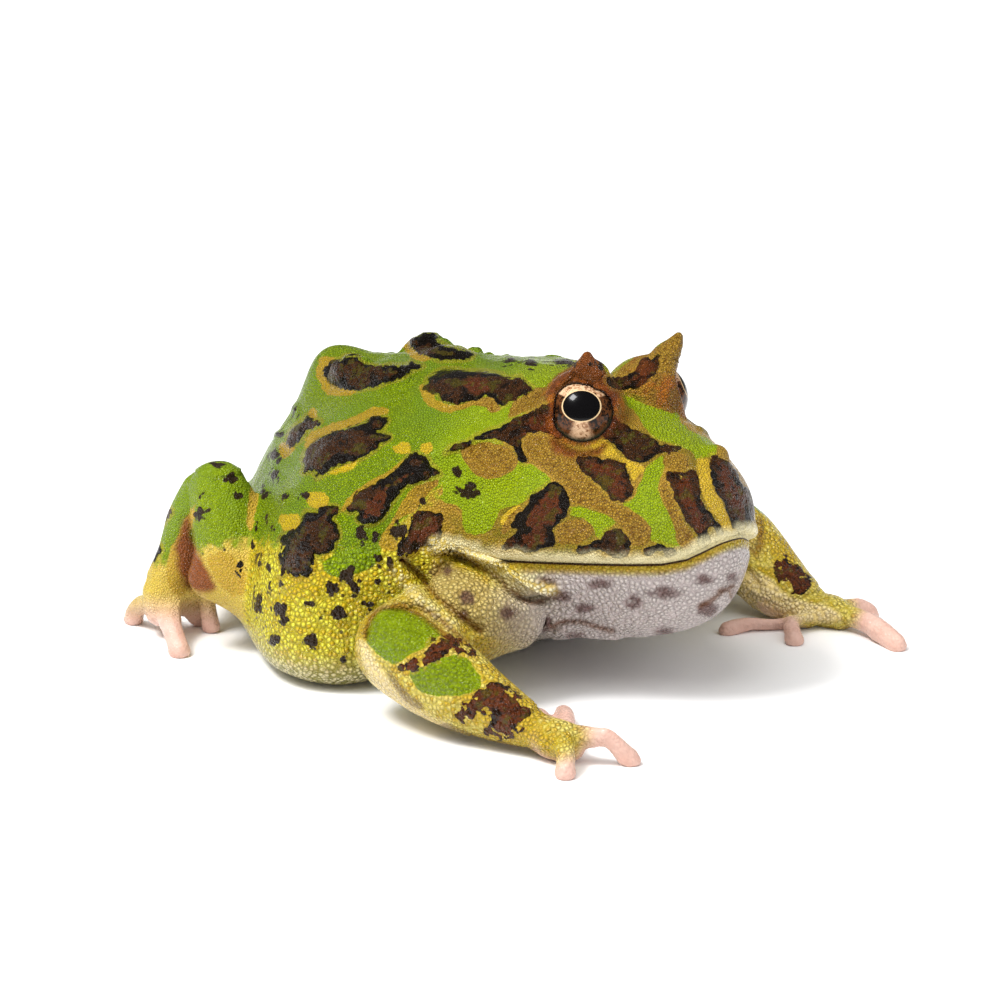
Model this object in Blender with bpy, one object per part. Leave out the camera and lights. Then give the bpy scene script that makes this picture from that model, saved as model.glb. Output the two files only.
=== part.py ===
"""A Cranwell's horned frog, life size, sitting with its belly on the floor.

The frog is drawn in its own millimetres: "back" is the distance behind the tip of the snout, "right"
is towards the frog's own right side and "up" is the height above the floor. place() turns these into
Blender's metres, where the frog faces -Y and the floor is z = 0.
"""

import math

import bmesh
import bpy
from mathutils import Matrix, Vector

MM = 0.001
GAP = 0.3
LEFT, RIGHT = -1, 1
SLIVER = 1e-6

# The middle of the whole footprint, so that the origin is under the middle of the frog.
MIDDLE_BACK = 44.6
MIDDLE_RIGHT = -1.2

# Driving sizes of the body, in millimetres.
BODY_LENGTH = 91.0
BODY_HALF_WIDTH = 38.2
BODY_HEIGHT = 44.0
MOUTH_LENGTH = 34.0
MOUTH_HALF_WIDTH = 23.4
MOUTH_ROUNDNESS = 1.45
NECK_BACK = 38.0

# The head is turned and raised a little about the middle of the neck.
HEAD_YAW = 1.95
HEAD_PITCH = 4.44
HEAD_ROLL = 2.87
HEAD_PIVOT = (36.0, 0.0, 21.05)
HEAD_STIFF_TO = 41.0
HEAD_BLEND_TO = 58.0

# Eyes, lids, horns and nostrils, before the head is turned.
EYE = (21.7, 7.5, 39.2)
EYE_RADIUS = 5.5
GAZE = (-0.60, 0.75, 0.28)
LID_RADIUS = 6.5
LID_SHIFT = 0.5
LID_RIM = 3.8
HORN_BASE = (20.1, 8.9, 43.6)
HORN_TIP = (18.3, 10.3, 48.5)
HORN_RADIUS = 3.0
NOSTRIL = (6.9, 3.6, 32.4)
NOSTRIL_MOUND = 2.1
NOSTRIL_RADIUS = 0.5

# Profiles of the trunk: (back, value) pairs, joined by a smooth curve.
TOP_LINE = [
    (0, 24.0), (1, 27.9), (2.8, 31.2), (7, 33.6), (14, 37.6), (22, 41.0), (36, BODY_HEIGHT),
    (54, 43.0), (66, 41.2), (76, 38.0), (84, 30.2), (89, 21.5), (BODY_LENGTH, 13.0),
]
BOTTOM_LINE = [
    (0, 18.5), (1, 15.8), (2.6, 12.0), (5, 9.3), (9, 7.2), (15, 5.6), (24, 4.8), (34, 3.2),
    (42, 0.7), (47, -0.7), (80, -0.7), (86, 2.0), (BODY_LENGTH, 11.0),
]
WIDE_LINE = [(0, 23.0), (30, 21.1), (40, 17.5), (52, 8.8), (70, 9.2), (BODY_LENGTH, 11.0)]
TRUNK_WIDTH = [
    (MOUTH_LENGTH, MOUTH_HALF_WIDTH), (38, 27.0), (42, 31.4), (47, 35.6), (53, BODY_HALF_WIDTH),
    (58, 37.2), (64, 33.8), (70, 29.7), (76, 25.2), (82, 19.2), (87, 12.4), (90, 6.0),
    (BODY_LENGTH, 1.5),
]
MOUTH_LINE = [
    (-2, 22.3), (0, 22.3), (0.7, 21.7), (1.5, 21.0), (3.1, 19.9), (5.5, 19.4), (16, 19.5),
    (25, 19.4), (30, 20.1), (34.5, 20.8), (45, 20.5),
]
UPPER_POWER = [(0, 2.1), (12, 2.0), (30, 2.0), (45, 1.95), (60, 1.78), (75, 1.5), (BODY_LENGTH, 1.6)]
LOWER_POWER = [(0, 1.95), (15, 2.1), (30, 2.5), (45, 3.6), (60, 5.0), (75, 4.1), (BODY_LENGTH, 2.8)]
TRUNK_SIDES = 36
JAW_INSET = 0.55

# Warts of the low crest on each side of the back: (back, degrees round the trunk, height).
RIDGE_WARTS = [
    (53.5, 71, 0.4), (56.0, 72, 0.7), (58.6, 72, 1.0), (61.2, 72, 1.2), (63.8, 72, 1.3),
    (66.3, 71, 1.5), (68.6, 70, 1.7),
]

SKIN = {
    "torso": ((0.27, 0.42, 0.08), 0.45),
    "head": ((0.30, 0.40, 0.10), 0.45),
    "jaw": ((0.72, 0.68, 0.66), 0.5),
    "horn": ((0.45, 0.20, 0.08), 0.5),
    "eye": ((0.03, 0.02, 0.015), 0.1),
    "arm": ((0.45, 0.42, 0.10), 0.4),
    "leg": ((0.25, 0.40, 0.08), 0.4),
    "digits": ((0.78, 0.55, 0.45), 0.4),
}



def clear_scene():
    for obj in list(bpy.data.objects):
        bpy.data.objects.remove(obj)


def place(back, right, up):
    """The frog's millimetres to Blender's metres."""
    return Vector((MIDDLE_RIGHT - right, back - MIDDLE_BACK, up)) * MM


def along(table, at):
    """The value at a distance along a table of pairs, on a smooth curve that doesn't overshoot."""
    if at <= table[0][0]:
        return table[0][1]
    if at >= table[-1][0]:
        return table[-1][1]
    slopes = [(b[1] - a[1]) / (b[0] - a[0]) for a, b in zip(table, table[1:])]
    bends = [slopes[0]]
    for before, after in zip(slopes, slopes[1:]):
        same_way = before * after > 0
        bends.append(2 * before * after / (before + after) if same_way else 0.0)
    bends.append(slopes[-1])
    for i, (a, b) in enumerate(zip(table, table[1:])):
        if at <= b[0]:
            span = b[0] - a[0]
            t = (at - a[0]) / span
            return (
                a[1] * (1 + 2 * t) * (1 - t) ** 2
                + b[1] * t * t * (3 - 2 * t)
                + span * t * (1 - t) * (bends[i] * (1 - t) - bends[i + 1] * t)
            )
    return table[-1][1]


def half_width(back):
    """Half the trunk's width. Round the mouth it is a rounded arch."""
    if back >= MOUTH_LENGTH:
        return along(TRUNK_WIDTH, back)
    share = (MOUTH_LENGTH - back) / MOUTH_LENGTH
    return MOUTH_HALF_WIDTH * math.sqrt(max(1 - share**MOUTH_ROUNDNESS, 0.0))


def trunk_point(back, turn, grow=0.0):
    """A point on the trunk. The turn goes from the right side, over the back, round to the belly."""
    wide = along(WIDE_LINE, back)
    width = half_width(back) + grow
    over = math.sin(turn) >= 0
    power = along(UPPER_POWER if over else LOWER_POWER, back)
    tall = along(TOP_LINE, back) - wide if over else wide - along(BOTTOM_LINE, back)
    side = math.copysign(abs(math.cos(turn)) ** (2 / power), math.cos(turn))
    rise = math.copysign(abs(math.sin(turn)) ** (2 / power), math.sin(turn))
    return back, width * side, wide + (tall + grow) * rise


def head_turn():
    yaw = Matrix.Rotation(math.radians(-HEAD_YAW), 4, "Z")
    pitch = Matrix.Rotation(math.radians(-HEAD_PITCH), 4, "X")
    roll = Matrix.Rotation(math.radians(HEAD_ROLL), 4, "Y")
    return yaw @ pitch @ roll


def pose_head(obj):
    """Turns the head, and the trunk behind it less and less."""
    pivot = place(*HEAD_PIVOT)
    turn = head_turn().to_quaternion()
    for vertex in obj.data.vertices:
        back = vertex.co.y / MM + MIDDLE_BACK
        share = min(max((HEAD_BLEND_TO - back) / (HEAD_BLEND_TO - HEAD_STIFF_TO), 0.0), 1.0)
        share = share * share * (3 - 2 * share)
        partly = turn.copy()
        partly = partly.slerp((1, 0, 0, 0), 1 - share) if share < 1 else partly
        vertex.co = pivot + partly @ (vertex.co - pivot)
    return obj


def new_object(name, mesh):
    obj = bpy.data.objects.new(name, mesh)
    bpy.context.scene.collection.objects.link(obj)
    return obj


def mesh_of_rings(name, rings, tip_start=None, tip_end=None):
    """A closed mesh through rings of points, each end closed by a tip point or a flat face."""
    builder = bmesh.new()
    rows = [[builder.verts.new(point) for point in ring] for ring in rings]
    count = len(rows[0])
    for first, second in zip(rows, rows[1:]):
        for i in range(count):
            j = (i + 1) % count
            builder.faces.new((first[i], first[j], second[j], second[i]))
    for row, tip in ((rows[0], tip_start), (rows[-1], tip_end)):
        if tip is None:
            builder.faces.new(row)
        else:
            point = builder.verts.new(tip)
            for i in range(count):
                builder.faces.new((row[i], row[(i + 1) % count], point))
    bmesh.ops.recalc_face_normals(builder, faces=builder.faces)
    mesh = bpy.data.meshes.new(name)
    builder.to_mesh(mesh)
    builder.free()
    return new_object(name, mesh)


def trunk_stations():
    """Distances behind the snout, closer together at its blunt front and at the round rump."""
    front = [MOUTH_LENGTH * (1 - math.cos(math.radians(a))) for a in range(6, 90, 7)]
    middle = [MOUTH_LENGTH + 3.1 * i for i in range(11)]
    start = middle[-1]
    rear = [start + (BODY_LENGTH - start) * math.sin(math.radians(a)) for a in range(11, 90, 11)]
    return front + middle + rear


def trunk(name, grow=0.0):
    """The whole frog without its limbs: a loft of rings from the snout to the rump."""
    rings = []
    for back in trunk_stations():
        turns = (2 * math.pi * i / TRUNK_SIDES for i in range(TRUNK_SIDES))
        rings.append([place(*trunk_point(back, turn, grow)) for turn in turns])
    snout = place(-grow, 0, along(WIDE_LINE, 0))
    rump = place(BODY_LENGTH + grow, 0, along(WIDE_LINE, BODY_LENGTH))
    return mesh_of_rings(name, rings, snout, rump)


def ball(name, centre, radii, rings=12, sides=18, turn=None):
    """An ellipsoid from Blender's own sphere, round a place in the frog's millimetres."""
    builder = bmesh.new()
    bmesh.ops.create_uvsphere(builder, u_segments=sides, v_segments=rings, radius=MM)
    back, right, up = radii
    matrix = Matrix.Translation(place(*centre)) @ (turn or Matrix.Identity(4))
    matrix = matrix @ Matrix.Diagonal((right, back, up, 1))
    bmesh.ops.transform(builder, matrix=matrix, verts=builder.verts)
    mesh = bpy.data.meshes.new(name)
    builder.to_mesh(mesh)
    builder.free()
    return new_object(name, mesh)


def prism(name, outline, half_width_mm):
    """A side-view outline of (back, up) points, drawn out to both sides of the frog."""
    rings = [
        [place(back, side * half_width_mm, up) for back, up in outline] for side in (RIGHT, LEFT)
    ]
    return mesh_of_rings(name, rings)


def smooth_path(points, steps):
    """A Catmull-Rom curve through rows of numbers."""
    rows = [points[0], *points, points[-1]]
    found = []
    for a, b, c, d in zip(rows, rows[1:], rows[2:], rows[3:]):
        for i in range(steps):
            t = i / steps
            found.append(
                tuple(
                    0.5
                    * (2 * q + (r - p) * t + (2 * p - 5 * q + 4 * r - s) * t**2 + (3 * q - p - 3 * r + s) * t**3)
                    for p, q, r, s in zip(a, b, c, d)
                )
            )
    found.append(tuple(points[-1]))
    return found


def limb(name, stations, sides=12, steps=2, grow=0.0, start="round", end="round", flat=1.0):
    """A tapering tube through (back, right, up, radius) stations, with round or cut ends."""
    path = smooth_path(stations, steps)
    centres = [place(*row[:3]) for row in path]
    radii = [(row[3] + grow) * MM for row in path]
    rings = []
    count = len(centres)
    for i, (centre, radius) in enumerate(zip(centres, radii)):
        ahead = centres[min(i + 1, count - 1)]
        behind = centres[max(i - 1, 0)]
        forward = (ahead - behind).normalized()
        across = forward.cross(Vector((0, 0, 1)))
        if across.length < 0.2:
            across = forward.cross(Vector((0, 1, 0)))
        across.normalize()
        lift = across.cross(forward)
        circle = []
        for k in range(sides):
            a = 2 * math.pi * k / sides
            circle.append((across * math.cos(a), lift * math.sin(a) * flat))
        caps = [(0.0, 1.0)]
        if i == 0 and start == "round":
            caps = [(-0.85, 0.53), (-0.5, 0.87), (0.0, 1.0)]
        if i == count - 1 and end == "round":
            caps = [(0.0, 1.0), (0.5, 0.87), (0.85, 0.53)]
        for shift, scale in caps:
            middle = centre + forward * radius * shift
            rings.append([middle + (x + y) * radius * scale for x, y in circle])
    first_way = (centres[1] - centres[0]).normalized()
    last_way = (centres[-1] - centres[-2]).normalized()
    tip_start = centres[0] - first_way * radii[0] if start == "round" else None
    tip_end = centres[-1] + last_way * radii[-1] if end == "round" else None
    return mesh_of_rings(name, rings, tip_start, tip_end)


def apply_boolean(obj, operation, other):
    """Joins or cuts with another object, which is removed afterwards."""
    modifier = obj.modifiers.new("join or cut", "BOOLEAN")
    modifier.operation = operation
    modifier.object = other
    modifier.solver = "EXACT"
    keep_shape(obj)
    bpy.data.objects.remove(other)
    return obj


def keep_shape(obj):
    """Makes what the modifiers show the object's own mesh, without the slivers that a cut leaves."""
    graph = bpy.context.evaluated_depsgraph_get()
    mesh = bpy.data.meshes.new_from_object(obj.evaluated_get(graph))
    obj.modifiers.clear()
    obj.data = mesh
    builder = bmesh.new()
    builder.from_mesh(mesh)
    bmesh.ops.remove_doubles(builder, verts=builder.verts, dist=SLIVER)
    bmesh.ops.dissolve_degenerate(builder, dist=SLIVER, edges=builder.edges)
    bmesh.ops.triangulate(builder, faces=builder.faces)
    builder.to_mesh(mesh)
    builder.free()


def join(obj, *others):
    for other in others:
        apply_boolean(obj, "UNION", other)
    return obj


def cut(obj, *others):
    for other in others:
        apply_boolean(obj, "DIFFERENCE", other)
    return obj


def keep_inside(obj, other):
    return apply_boolean(obj, "INTERSECT", other)


def keep_largest(obj):
    """Keeps the largest closed surface of a mesh and drops any scrap that a cut left."""
    builder = bmesh.new()
    builder.from_mesh(obj.data)
    unseen = set(builder.verts)
    groups = []
    while unseen:
        stack = [unseen.pop()]
        group = set(stack)
        while stack:
            for edge in stack.pop().link_edges:
                for vertex in edge.verts:
                    if vertex in unseen:
                        unseen.remove(vertex)
                        group.add(vertex)
                        stack.append(vertex)
        groups.append(group)
    groups.sort(key=len)
    for group in groups[:-1]:
        bmesh.ops.delete(builder, geom=list(group), context="VERTS")
    builder.to_mesh(obj.data)
    builder.free()
    return obj


def stand_on_floor(obj):
    """Cuts off what dips under the floor, which leaves the small flats that the frog rests on."""
    if min(vertex.co.z for vertex in obj.data.vertices) < 0:
        outline = [(-60, 0), (160, 0), (160, -40), (-60, -40)]
        cut(obj, prism("under the floor", outline, 90))
    builder = bmesh.new()
    builder.from_mesh(obj.data)
    bmesh.ops.triangulate(builder, faces=builder.faces)
    bmesh.ops.recalc_face_normals(builder, faces=builder.faces)
    builder.to_mesh(obj.data)
    builder.free()


def material(kind):
    found = bpy.data.materials.get(kind)
    if found:
        return found
    colour, roughness = SKIN[kind]
    made = bpy.data.materials.new(kind)
    made.use_nodes = True
    shader = made.node_tree.nodes["Principled BSDF"]
    shader.inputs["Base Color"].default_value = (*colour, 1)
    shader.inputs["Roughness"].default_value = roughness
    shader.inputs["Metallic"].default_value = 0.0
    made.diffuse_color = (*colour, 1)
    return made


def finish(obj, name, kind):
    """Names a node, gives it its finish, and shades it smooth."""
    stand_on_floor(obj)
    keep_largest(obj)
    obj.name = name
    obj.data.name = name
    obj.data.materials.clear()
    obj.data.materials.append(material(kind))
    obj.data.shade_smooth()
    return obj


def mirrored(point, side):
    back, right, up = point
    return back, right * side, up


def head_region(name, above, grow=0.0):
    """The space in front of the neck, above or below the line of the mouth."""
    edge = GAP / 2
    lift = edge + grow if above else -edge - grow
    line = [(back, up + lift) for back, up in MOUTH_LINE]
    line = [point for point in line if point[0] < NECK_BACK - edge]
    line.append((NECK_BACK - edge, along(MOUTH_LINE, NECK_BACK) + lift))
    limit = 80.0 if above else -20.0
    outline = [(-10, line[0][1]), *line, (NECK_BACK - edge, limit), (-10, limit)]
    return prism(name, outline, 60)


def lid_centre(side):
    """The lids bulge round a place a little behind the middle of the eyeball."""
    return [at - LID_SHIFT * way for at, way in zip(mirrored(EYE, side), mirrored(GAZE, side))]


def lid(side, grow=0.0):
    """The mound of the eyelids. The eyeball shows only where it stands out of the mound."""
    return ball("lid", lid_centre(side), (LID_RADIUS + grow,) * 3, 13, 18)


def socket(side):
    return ball("socket", mirrored(EYE, side), (EYE_RADIUS + GAP,) * 3, 11, 16)


def lid_opening(side):
    """The space in front of the rim of the lids, which gives the rim its thickness."""
    eye_at = Vector(mirrored(EYE, side))
    gaze = Vector(mirrored(GAZE, side))
    near = eye_at + gaze * LID_RIM
    far = eye_at + gaze * (LID_RIM + 5)
    return limb("opening", [(*near, 5.6), (*far, 7.5)], sides=16, steps=1, start="cut", end="cut")


def nostril_pit(side):
    back, right, up = mirrored(NOSTRIL, side)
    stations = [
        (back - 1.4, right + 1.3 * side, up + 1.7, NOSTRIL_RADIUS),
        (back + 0.1, right + 0.1 * side, up + 0.5, NOSTRIL_RADIUS),
    ]
    return limb("nostril", stations, sides=8, steps=1)


def nostril_mound(side):
    return ball("mound", mirrored(NOSTRIL, side), (2.4, NOSTRIL_MOUND, NOSTRIL_MOUND), 8, 12)


def head():
    """The upper head: cheeks, snout, upper lip, lid mounds and nostrils."""
    made = trunk("head")
    keep_inside(made, head_region("front", above=True))
    mounds = [lid(side) for side in (LEFT, RIGHT)]
    mounds += [nostril_mound(side) for side in (LEFT, RIGHT)]
    join(made, *mounds)
    holes = [socket(side) for side in (LEFT, RIGHT)]
    holes += [lid_opening(side) for side in (LEFT, RIGHT)]
    holes += [nostril_pit(side) for side in (LEFT, RIGHT)]
    return cut(made, *holes)


def jaw():
    """The lower jaw and throat, a little inside the upper lip."""
    made = trunk("jaw", grow=-JAW_INSET)
    return keep_inside(made, head_region("below", above=False))


def horn(side, grow=0.0):
    """The fleshy point on an upper eyelid, wide at its foot and drawn out to a tip."""
    base = Vector(mirrored(HORN_BASE, side))
    tip = Vector(mirrored(HORN_TIP, side))
    stations = []
    for share, width in ((-0.2, 1.3), (0.1, 1.0), (0.4, 0.6), (0.7, 0.33), (1.0, 0.15)):
        spot = base + (tip - base) * share
        stations.append((*spot, HORN_RADIUS * width + grow))
    return limb("horn", stations, sides=10, steps=1, start="cut")


def eye(side):
    return ball("eye", mirrored(EYE, side), (EYE_RADIUS,) * 3, 11, 16)


def back_ridge(side):
    """The row of warts that makes a low crest on each side of the back."""
    warts = []
    for i, (back, turned, height) in enumerate(RIDGE_WARTS):
        turn = math.radians(turned if side == RIGHT else 180 - turned)
        foot = Vector(trunk_point(back, turn, grow=-1.2))
        tip = Vector(trunk_point(back, turn, grow=height))
        stations = [(*foot, 2.4), (*foot.lerp(tip, 0.6), 1.9), (*tip, 0.8)]
        warts.append(limb("wart", stations, sides=7, steps=1, start="cut"))
    return warts


def torso():
    made = trunk("torso")
    edge = NECK_BACK + GAP / 2
    outline = [(edge, -20), (140, -20), (140, 80), (edge, 80)]
    keep_inside(made, prism("behind the neck", outline, 80))
    return join(made, *back_ridge(RIGHT), *back_ridge(LEFT))


# Limbs, as (back, out to the side, up, radius) stations.
UPPER_ARM = [(28, 17, 13.5, 7.2), (31, 28, 12.3, 6.9), (33.0, 35.8, 10.9, 6.5)]
FOREARM = {
    RIGHT: [(33.2, 36.4, 10.6, 6.5), (25.8, 37.2, 8.5, 6.4), (17.8, 37.0, 5.9, 5.0), (9.0, 36.4, 3.9, 3.0)],
    LEFT: [(34.0, 37.6, 11.4, 6.6), (27.0, 38.4, 9.8, 6.4), (20.0, 38.4, 7.2, 5.4), (14.0, 37.8, 4.6, 3.7)],
}
PALM = {
    RIGHT: [(8.7, 36.4, 3.8, 2.9), (5.0, 36.0, 3.0, 2.9), (2.8, 35.6, 2.5, 2.5)],
    LEFT: [(13.7, 37.8, 4.5, 3.5), (10.5, 38.0, 3.3, 3.3), (8.5, 38.0, 2.6, 2.6)],
}
FINGERS = {
    RIGHT: [
        [(6.5, 34.5, 2.4, 1.5), (13.0, 28.6, 2.0, 1.25), (16.5, 25.4, 1.0, 1.3)],
        [(4.5, 34.0, 2.6, 1.6), (10.5, 26.6, 2.6, 1.3), (14.6, 22.4, 1.0, 1.35)],
        [(3.0, 35.5, 2.6, 1.7), (-2.0, 33.6, 3.2, 1.35), (-4.2, 30.8, 0.95, 1.45)],
        [(4.0, 36.6, 2.6, 1.7), (0.8, 39.0, 3.0, 1.35), (-0.6, 40.7, 1.0, 1.5)],
    ],
    LEFT: [
        [(14.0, 34.0, 2.5, 1.7), (18.0, 28.0, 2.2, 1.3), (20.0, 24.4, 1.0, 1.35)],
        [(12.0, 35.0, 2.8, 1.9), (12.2, 30.4, 3.0, 1.4), (9.3, 27.0, 1.0, 1.5)],
        [(8.8, 38.0, 2.8, 2.0), (1.8, 36.8, 2.4, 1.5), (-4.2, 34.6, 1.05, 1.5)],
        [(9.8, 39.6, 2.8, 2.0), (8.7, 42.6, 2.6, 1.6), (7.7, 44.4, 1.1, 1.6)],
    ],
}
THIGH = [(86, 10, 12, 7.4), (80.5, 20, 11.5, 8.0), (73.0, 25.8, 10.5, 5.6)]
SHANK = [(67.5, 26.0, 8.5, 5.2), (72.5, 26.8, 11.8, 6.2), (75.6, 27.0, 17.4, 6.0), (78.4, 26.0, 22.8, 4.9)]
TARSUS = [
    (81.6, 25.8, 22.2, 3.7), (84.4, 28.2, 17.2, 2.9), (86.2, 30.0, 11.5, 2.8), (86.5, 31.0, 7.2, 3.0),
    (85.6, 31.4, 4.4, 3.0),
]
TOES = [
    [(86.8, 31.0, 4.8, 2.0), (91.0, 30.6, 3.6, 1.6), (93.4, 29.8, 1.1, 1.55)],
    [(84.6, 32.0, 4.2, 2.1), (80.6, 34.6, 3.2, 1.7), (77.0, 36.6, 1.1, 1.7)],
    [(85.0, 30.4, 4.6, 1.9), (82.4, 27.6, 4.8, 1.5), (81.4, 25.3, 1.1, 1.5)],
    [(86.4, 30.0, 4.0, 1.7), (85.4, 26.6, 2.8, 1.3), (84.8, 24.0, 1.0, 1.3)],
    [(87.0, 30.0, 4.0, 1.6), (88.8, 27.4, 2.6, 1.2), (89.6, 25.6, 0.95, 1.2)],
]


def mirrored_stations(stations, side):
    return [(back, right * side, up, radius) for back, right, up, radius in stations]


def digits(rows, side):
    return [limb("digit", mirrored_stations(row, side), sides=8, steps=2) for row in rows]


def grown_trunk():
    return pose_head(trunk("grown trunk", grow=GAP))


def letter(side):
    return "R" if side == RIGHT else "L"


def build_arm(side):
    """Upper arm, forearm and hand, each cut clear of what it grows from."""
    fore_row = mirrored_stations(FOREARM[side], side)
    fore = limb("forearm", fore_row, end="cut", sides=16)
    cut(fore, grown_trunk())
    upper = limb("upper arm", mirrored_stations(UPPER_ARM, side), start="cut")
    cut(upper, grown_trunk(), limb("grown", fore_row, grow=GAP, end="cut", sides=16))
    hand = limb("hand", mirrored_stations(PALM[side], side), flat=0.9)
    join(hand, *digits(FINGERS[side], side))
    cut(hand, limb("grown", fore_row, grow=GAP, end="cut", sides=16))
    finish(upper, f"upper_arm_{letter(side)}", "arm")
    finish(fore, f"forearm_{letter(side)}", "arm")
    finish(hand, f"hand_{letter(side)}", "digits")


def mirror_copy(obj, name, kind):
    """The same shape on the other side of the frog."""
    other = new_object(name, obj.data.copy())
    middle = place(0, 0, 0).x
    for vertex in other.data.vertices:
        vertex.co.x = 2 * middle - vertex.co.x
    return finish(other, name, kind)


def build_legs():
    """Thigh, shank and foot of the right side, each cut clear of the others, and their mirror images."""
    shank = limb("shank", SHANK)
    cut(shank, grown_trunk())
    thigh = limb("thigh", THIGH)
    cut(thigh, grown_trunk(), limb("grown", SHANK, grow=GAP))
    foot = limb("foot", TARSUS)
    join(foot, *digits(TOES, RIGHT))
    cut(foot, limb("grown", SHANK, grow=GAP), limb("grown", THIGH, grow=GAP), grown_trunk())
    for obj, name, kind in ((thigh, "thigh", "leg"), (shank, "shank", "leg"), (foot, "foot", "digits")):
        finish(obj, f"{name}_R", kind)
        mirror_copy(obj, f"{name}_L", kind)


def build_horn(side):
    made = horn(side)
    cut(made, lid(side, GAP), trunk("grown", GAP), socket(side), lid_opening(side))
    finish(pose_head(made), f"horn_{letter(side)}", "horn")


def main():
    clear_scene()
    finish(pose_head(head()), "head", "head")
    finish(pose_head(jaw()), "jaw", "jaw")
    finish(pose_head(torso()), "torso", "torso")
    for side in (RIGHT, LEFT):
        finish(pose_head(eye(side)), f"eye_{letter(side)}", "eye")
        build_horn(side)
        build_arm(side)
    build_legs()


main()
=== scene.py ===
# %% [markdown]
# # A horned frog model, step by step
# The frog is a painted museum model in life size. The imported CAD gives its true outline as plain
# solids. This lesson dresses those solids in one soft skin, paints the markings, makes the eyes,
# and sets up a studio. Every piece is measured from the frame, so nothing has to be fitted.

import math

import bpy
import bmesh
import numpy as np
from mathutils import Matrix, Vector
from mathutils.bvhtree import BVHTree


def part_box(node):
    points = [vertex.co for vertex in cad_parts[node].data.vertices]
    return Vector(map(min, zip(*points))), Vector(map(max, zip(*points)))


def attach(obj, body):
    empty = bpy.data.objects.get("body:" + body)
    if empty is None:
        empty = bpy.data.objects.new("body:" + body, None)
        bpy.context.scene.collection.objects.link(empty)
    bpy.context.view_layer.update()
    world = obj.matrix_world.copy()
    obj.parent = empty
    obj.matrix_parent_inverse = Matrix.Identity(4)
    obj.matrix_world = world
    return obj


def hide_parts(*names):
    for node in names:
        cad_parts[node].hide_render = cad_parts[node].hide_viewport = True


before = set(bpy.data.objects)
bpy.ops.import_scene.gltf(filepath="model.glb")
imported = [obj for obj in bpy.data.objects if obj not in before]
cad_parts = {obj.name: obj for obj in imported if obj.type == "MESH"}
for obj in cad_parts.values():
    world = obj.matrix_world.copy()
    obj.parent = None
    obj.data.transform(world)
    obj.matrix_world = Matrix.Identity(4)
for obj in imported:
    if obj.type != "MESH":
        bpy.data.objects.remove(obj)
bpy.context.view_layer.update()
MM = 0.001
print("the frame has", len(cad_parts), "nodes:", ", ".join(sorted(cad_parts)))

# %% [markdown]
# Frog measures are easier to think in than scene measures. Back is counted from the tip of the
# snout, right from the middle of the body, up from the floor, all in millimetres. The torso's box
# ties them to the frame: its rear end is 91 mm back, and it is as wide on both sides.

# %% Frog measures
BODY_LENGTH = 91.0
torso_low, torso_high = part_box("torso")
MIDDLE_X = (torso_low.x + torso_high.x) / 2 / MM
MIDDLE_Y = torso_high.y / MM - BODY_LENGTH
HEAD_PIVOT = (36.0, 0.0, 21.05)
HEAD_TURN = (-1.95, -4.44, 2.87)
HEAD_STIFF_TO = 41.0
HEAD_BLEND_TO = 58.0


def spot(back, right, up):
    """A place on the frog, in millimetres of the scene."""
    return np.array((MIDDLE_X - right, back + MIDDLE_Y, up))


def turn_head(points, way=1):
    """Turns points with the head, or back again with way -1. Behind the neck they turn less."""
    yaw, pitch, roll = (math.radians(angle) for angle in HEAD_TURN)
    turn = Matrix.Rotation(yaw, 4, "Z") @ Matrix.Rotation(pitch, 4, "X")
    turn = (turn @ Matrix.Rotation(roll, 4, "Y")).to_quaternion()
    axis, angle = np.array(turn.axis), turn.angle
    share = (HEAD_BLEND_TO - (points[:, 1] - MIDDLE_Y)) / (HEAD_BLEND_TO - HEAD_STIFF_TO)
    share = np.clip(share, 0, 1)
    share = share * share * (3 - 2 * share)
    angle = (angle * share * way)[:, None]
    offset = points - spot(*HEAD_PIVOT)
    along = (offset @ axis)[:, None] * axis
    turned = offset * np.cos(angle) + np.cross(axis, offset) * np.sin(angle)
    return spot(*HEAD_PIVOT) + turned + along * (1 - np.cos(angle))


def mirror(points):
    """The same places on the other side of the frog, with the head's turn kept."""
    straight = turn_head(points, -1)
    straight[:, 0] = 2 * MIDDLE_X - straight[:, 0]
    return turn_head(straight)


print(f"middle of the body at x {MIDDLE_X:.2f} mm, snout at y {MIDDLE_Y:.2f} mm")

# %% [markdown]
# The camera stands where the photographer stood: 50 degrees round to the frog's right, 16 degrees
# up, with a long lens. It comes first because the markings are placed by what it sees.

# %% The photographer's camera
VIEW_ROUND = 50.3
VIEW_UP = 16.3
VIEW_DISTANCE = 600.0
FOCAL_PIXELS = 3990.0
PICTURE = 1000.0
AIM = np.array((MIDDLE_X, MIDDLE_Y + 44.85, 22.1))

round_angle, up_angle = math.radians(VIEW_ROUND), math.radians(VIEW_UP)
TO_CAMERA = np.array((
    -math.sin(round_angle) * math.cos(up_angle),
    -math.cos(round_angle) * math.cos(up_angle),
    math.sin(up_angle),
))
VIEW_RIGHT = np.array((math.cos(round_angle), -math.sin(round_angle), 0.0))
VIEW_TOP = np.cross(TO_CAMERA, VIEW_RIGHT)
EYE_POINT = AIM + TO_CAMERA * VIEW_DISTANCE

lens = bpy.data.cameras.new("photographer")
lens.sensor_width = 36.0
lens.lens = 36.0 * FOCAL_PIXELS / PICTURE
lens.clip_start = 0.01
camera = bpy.data.objects.new("photographer", lens)
camera.location = Vector(EYE_POINT * MM)
camera.rotation_euler = Vector(TO_CAMERA).to_track_quat("Z", "Y").to_euler()
bpy.context.scene.collection.objects.link(camera)
bpy.context.scene.camera = camera


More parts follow.
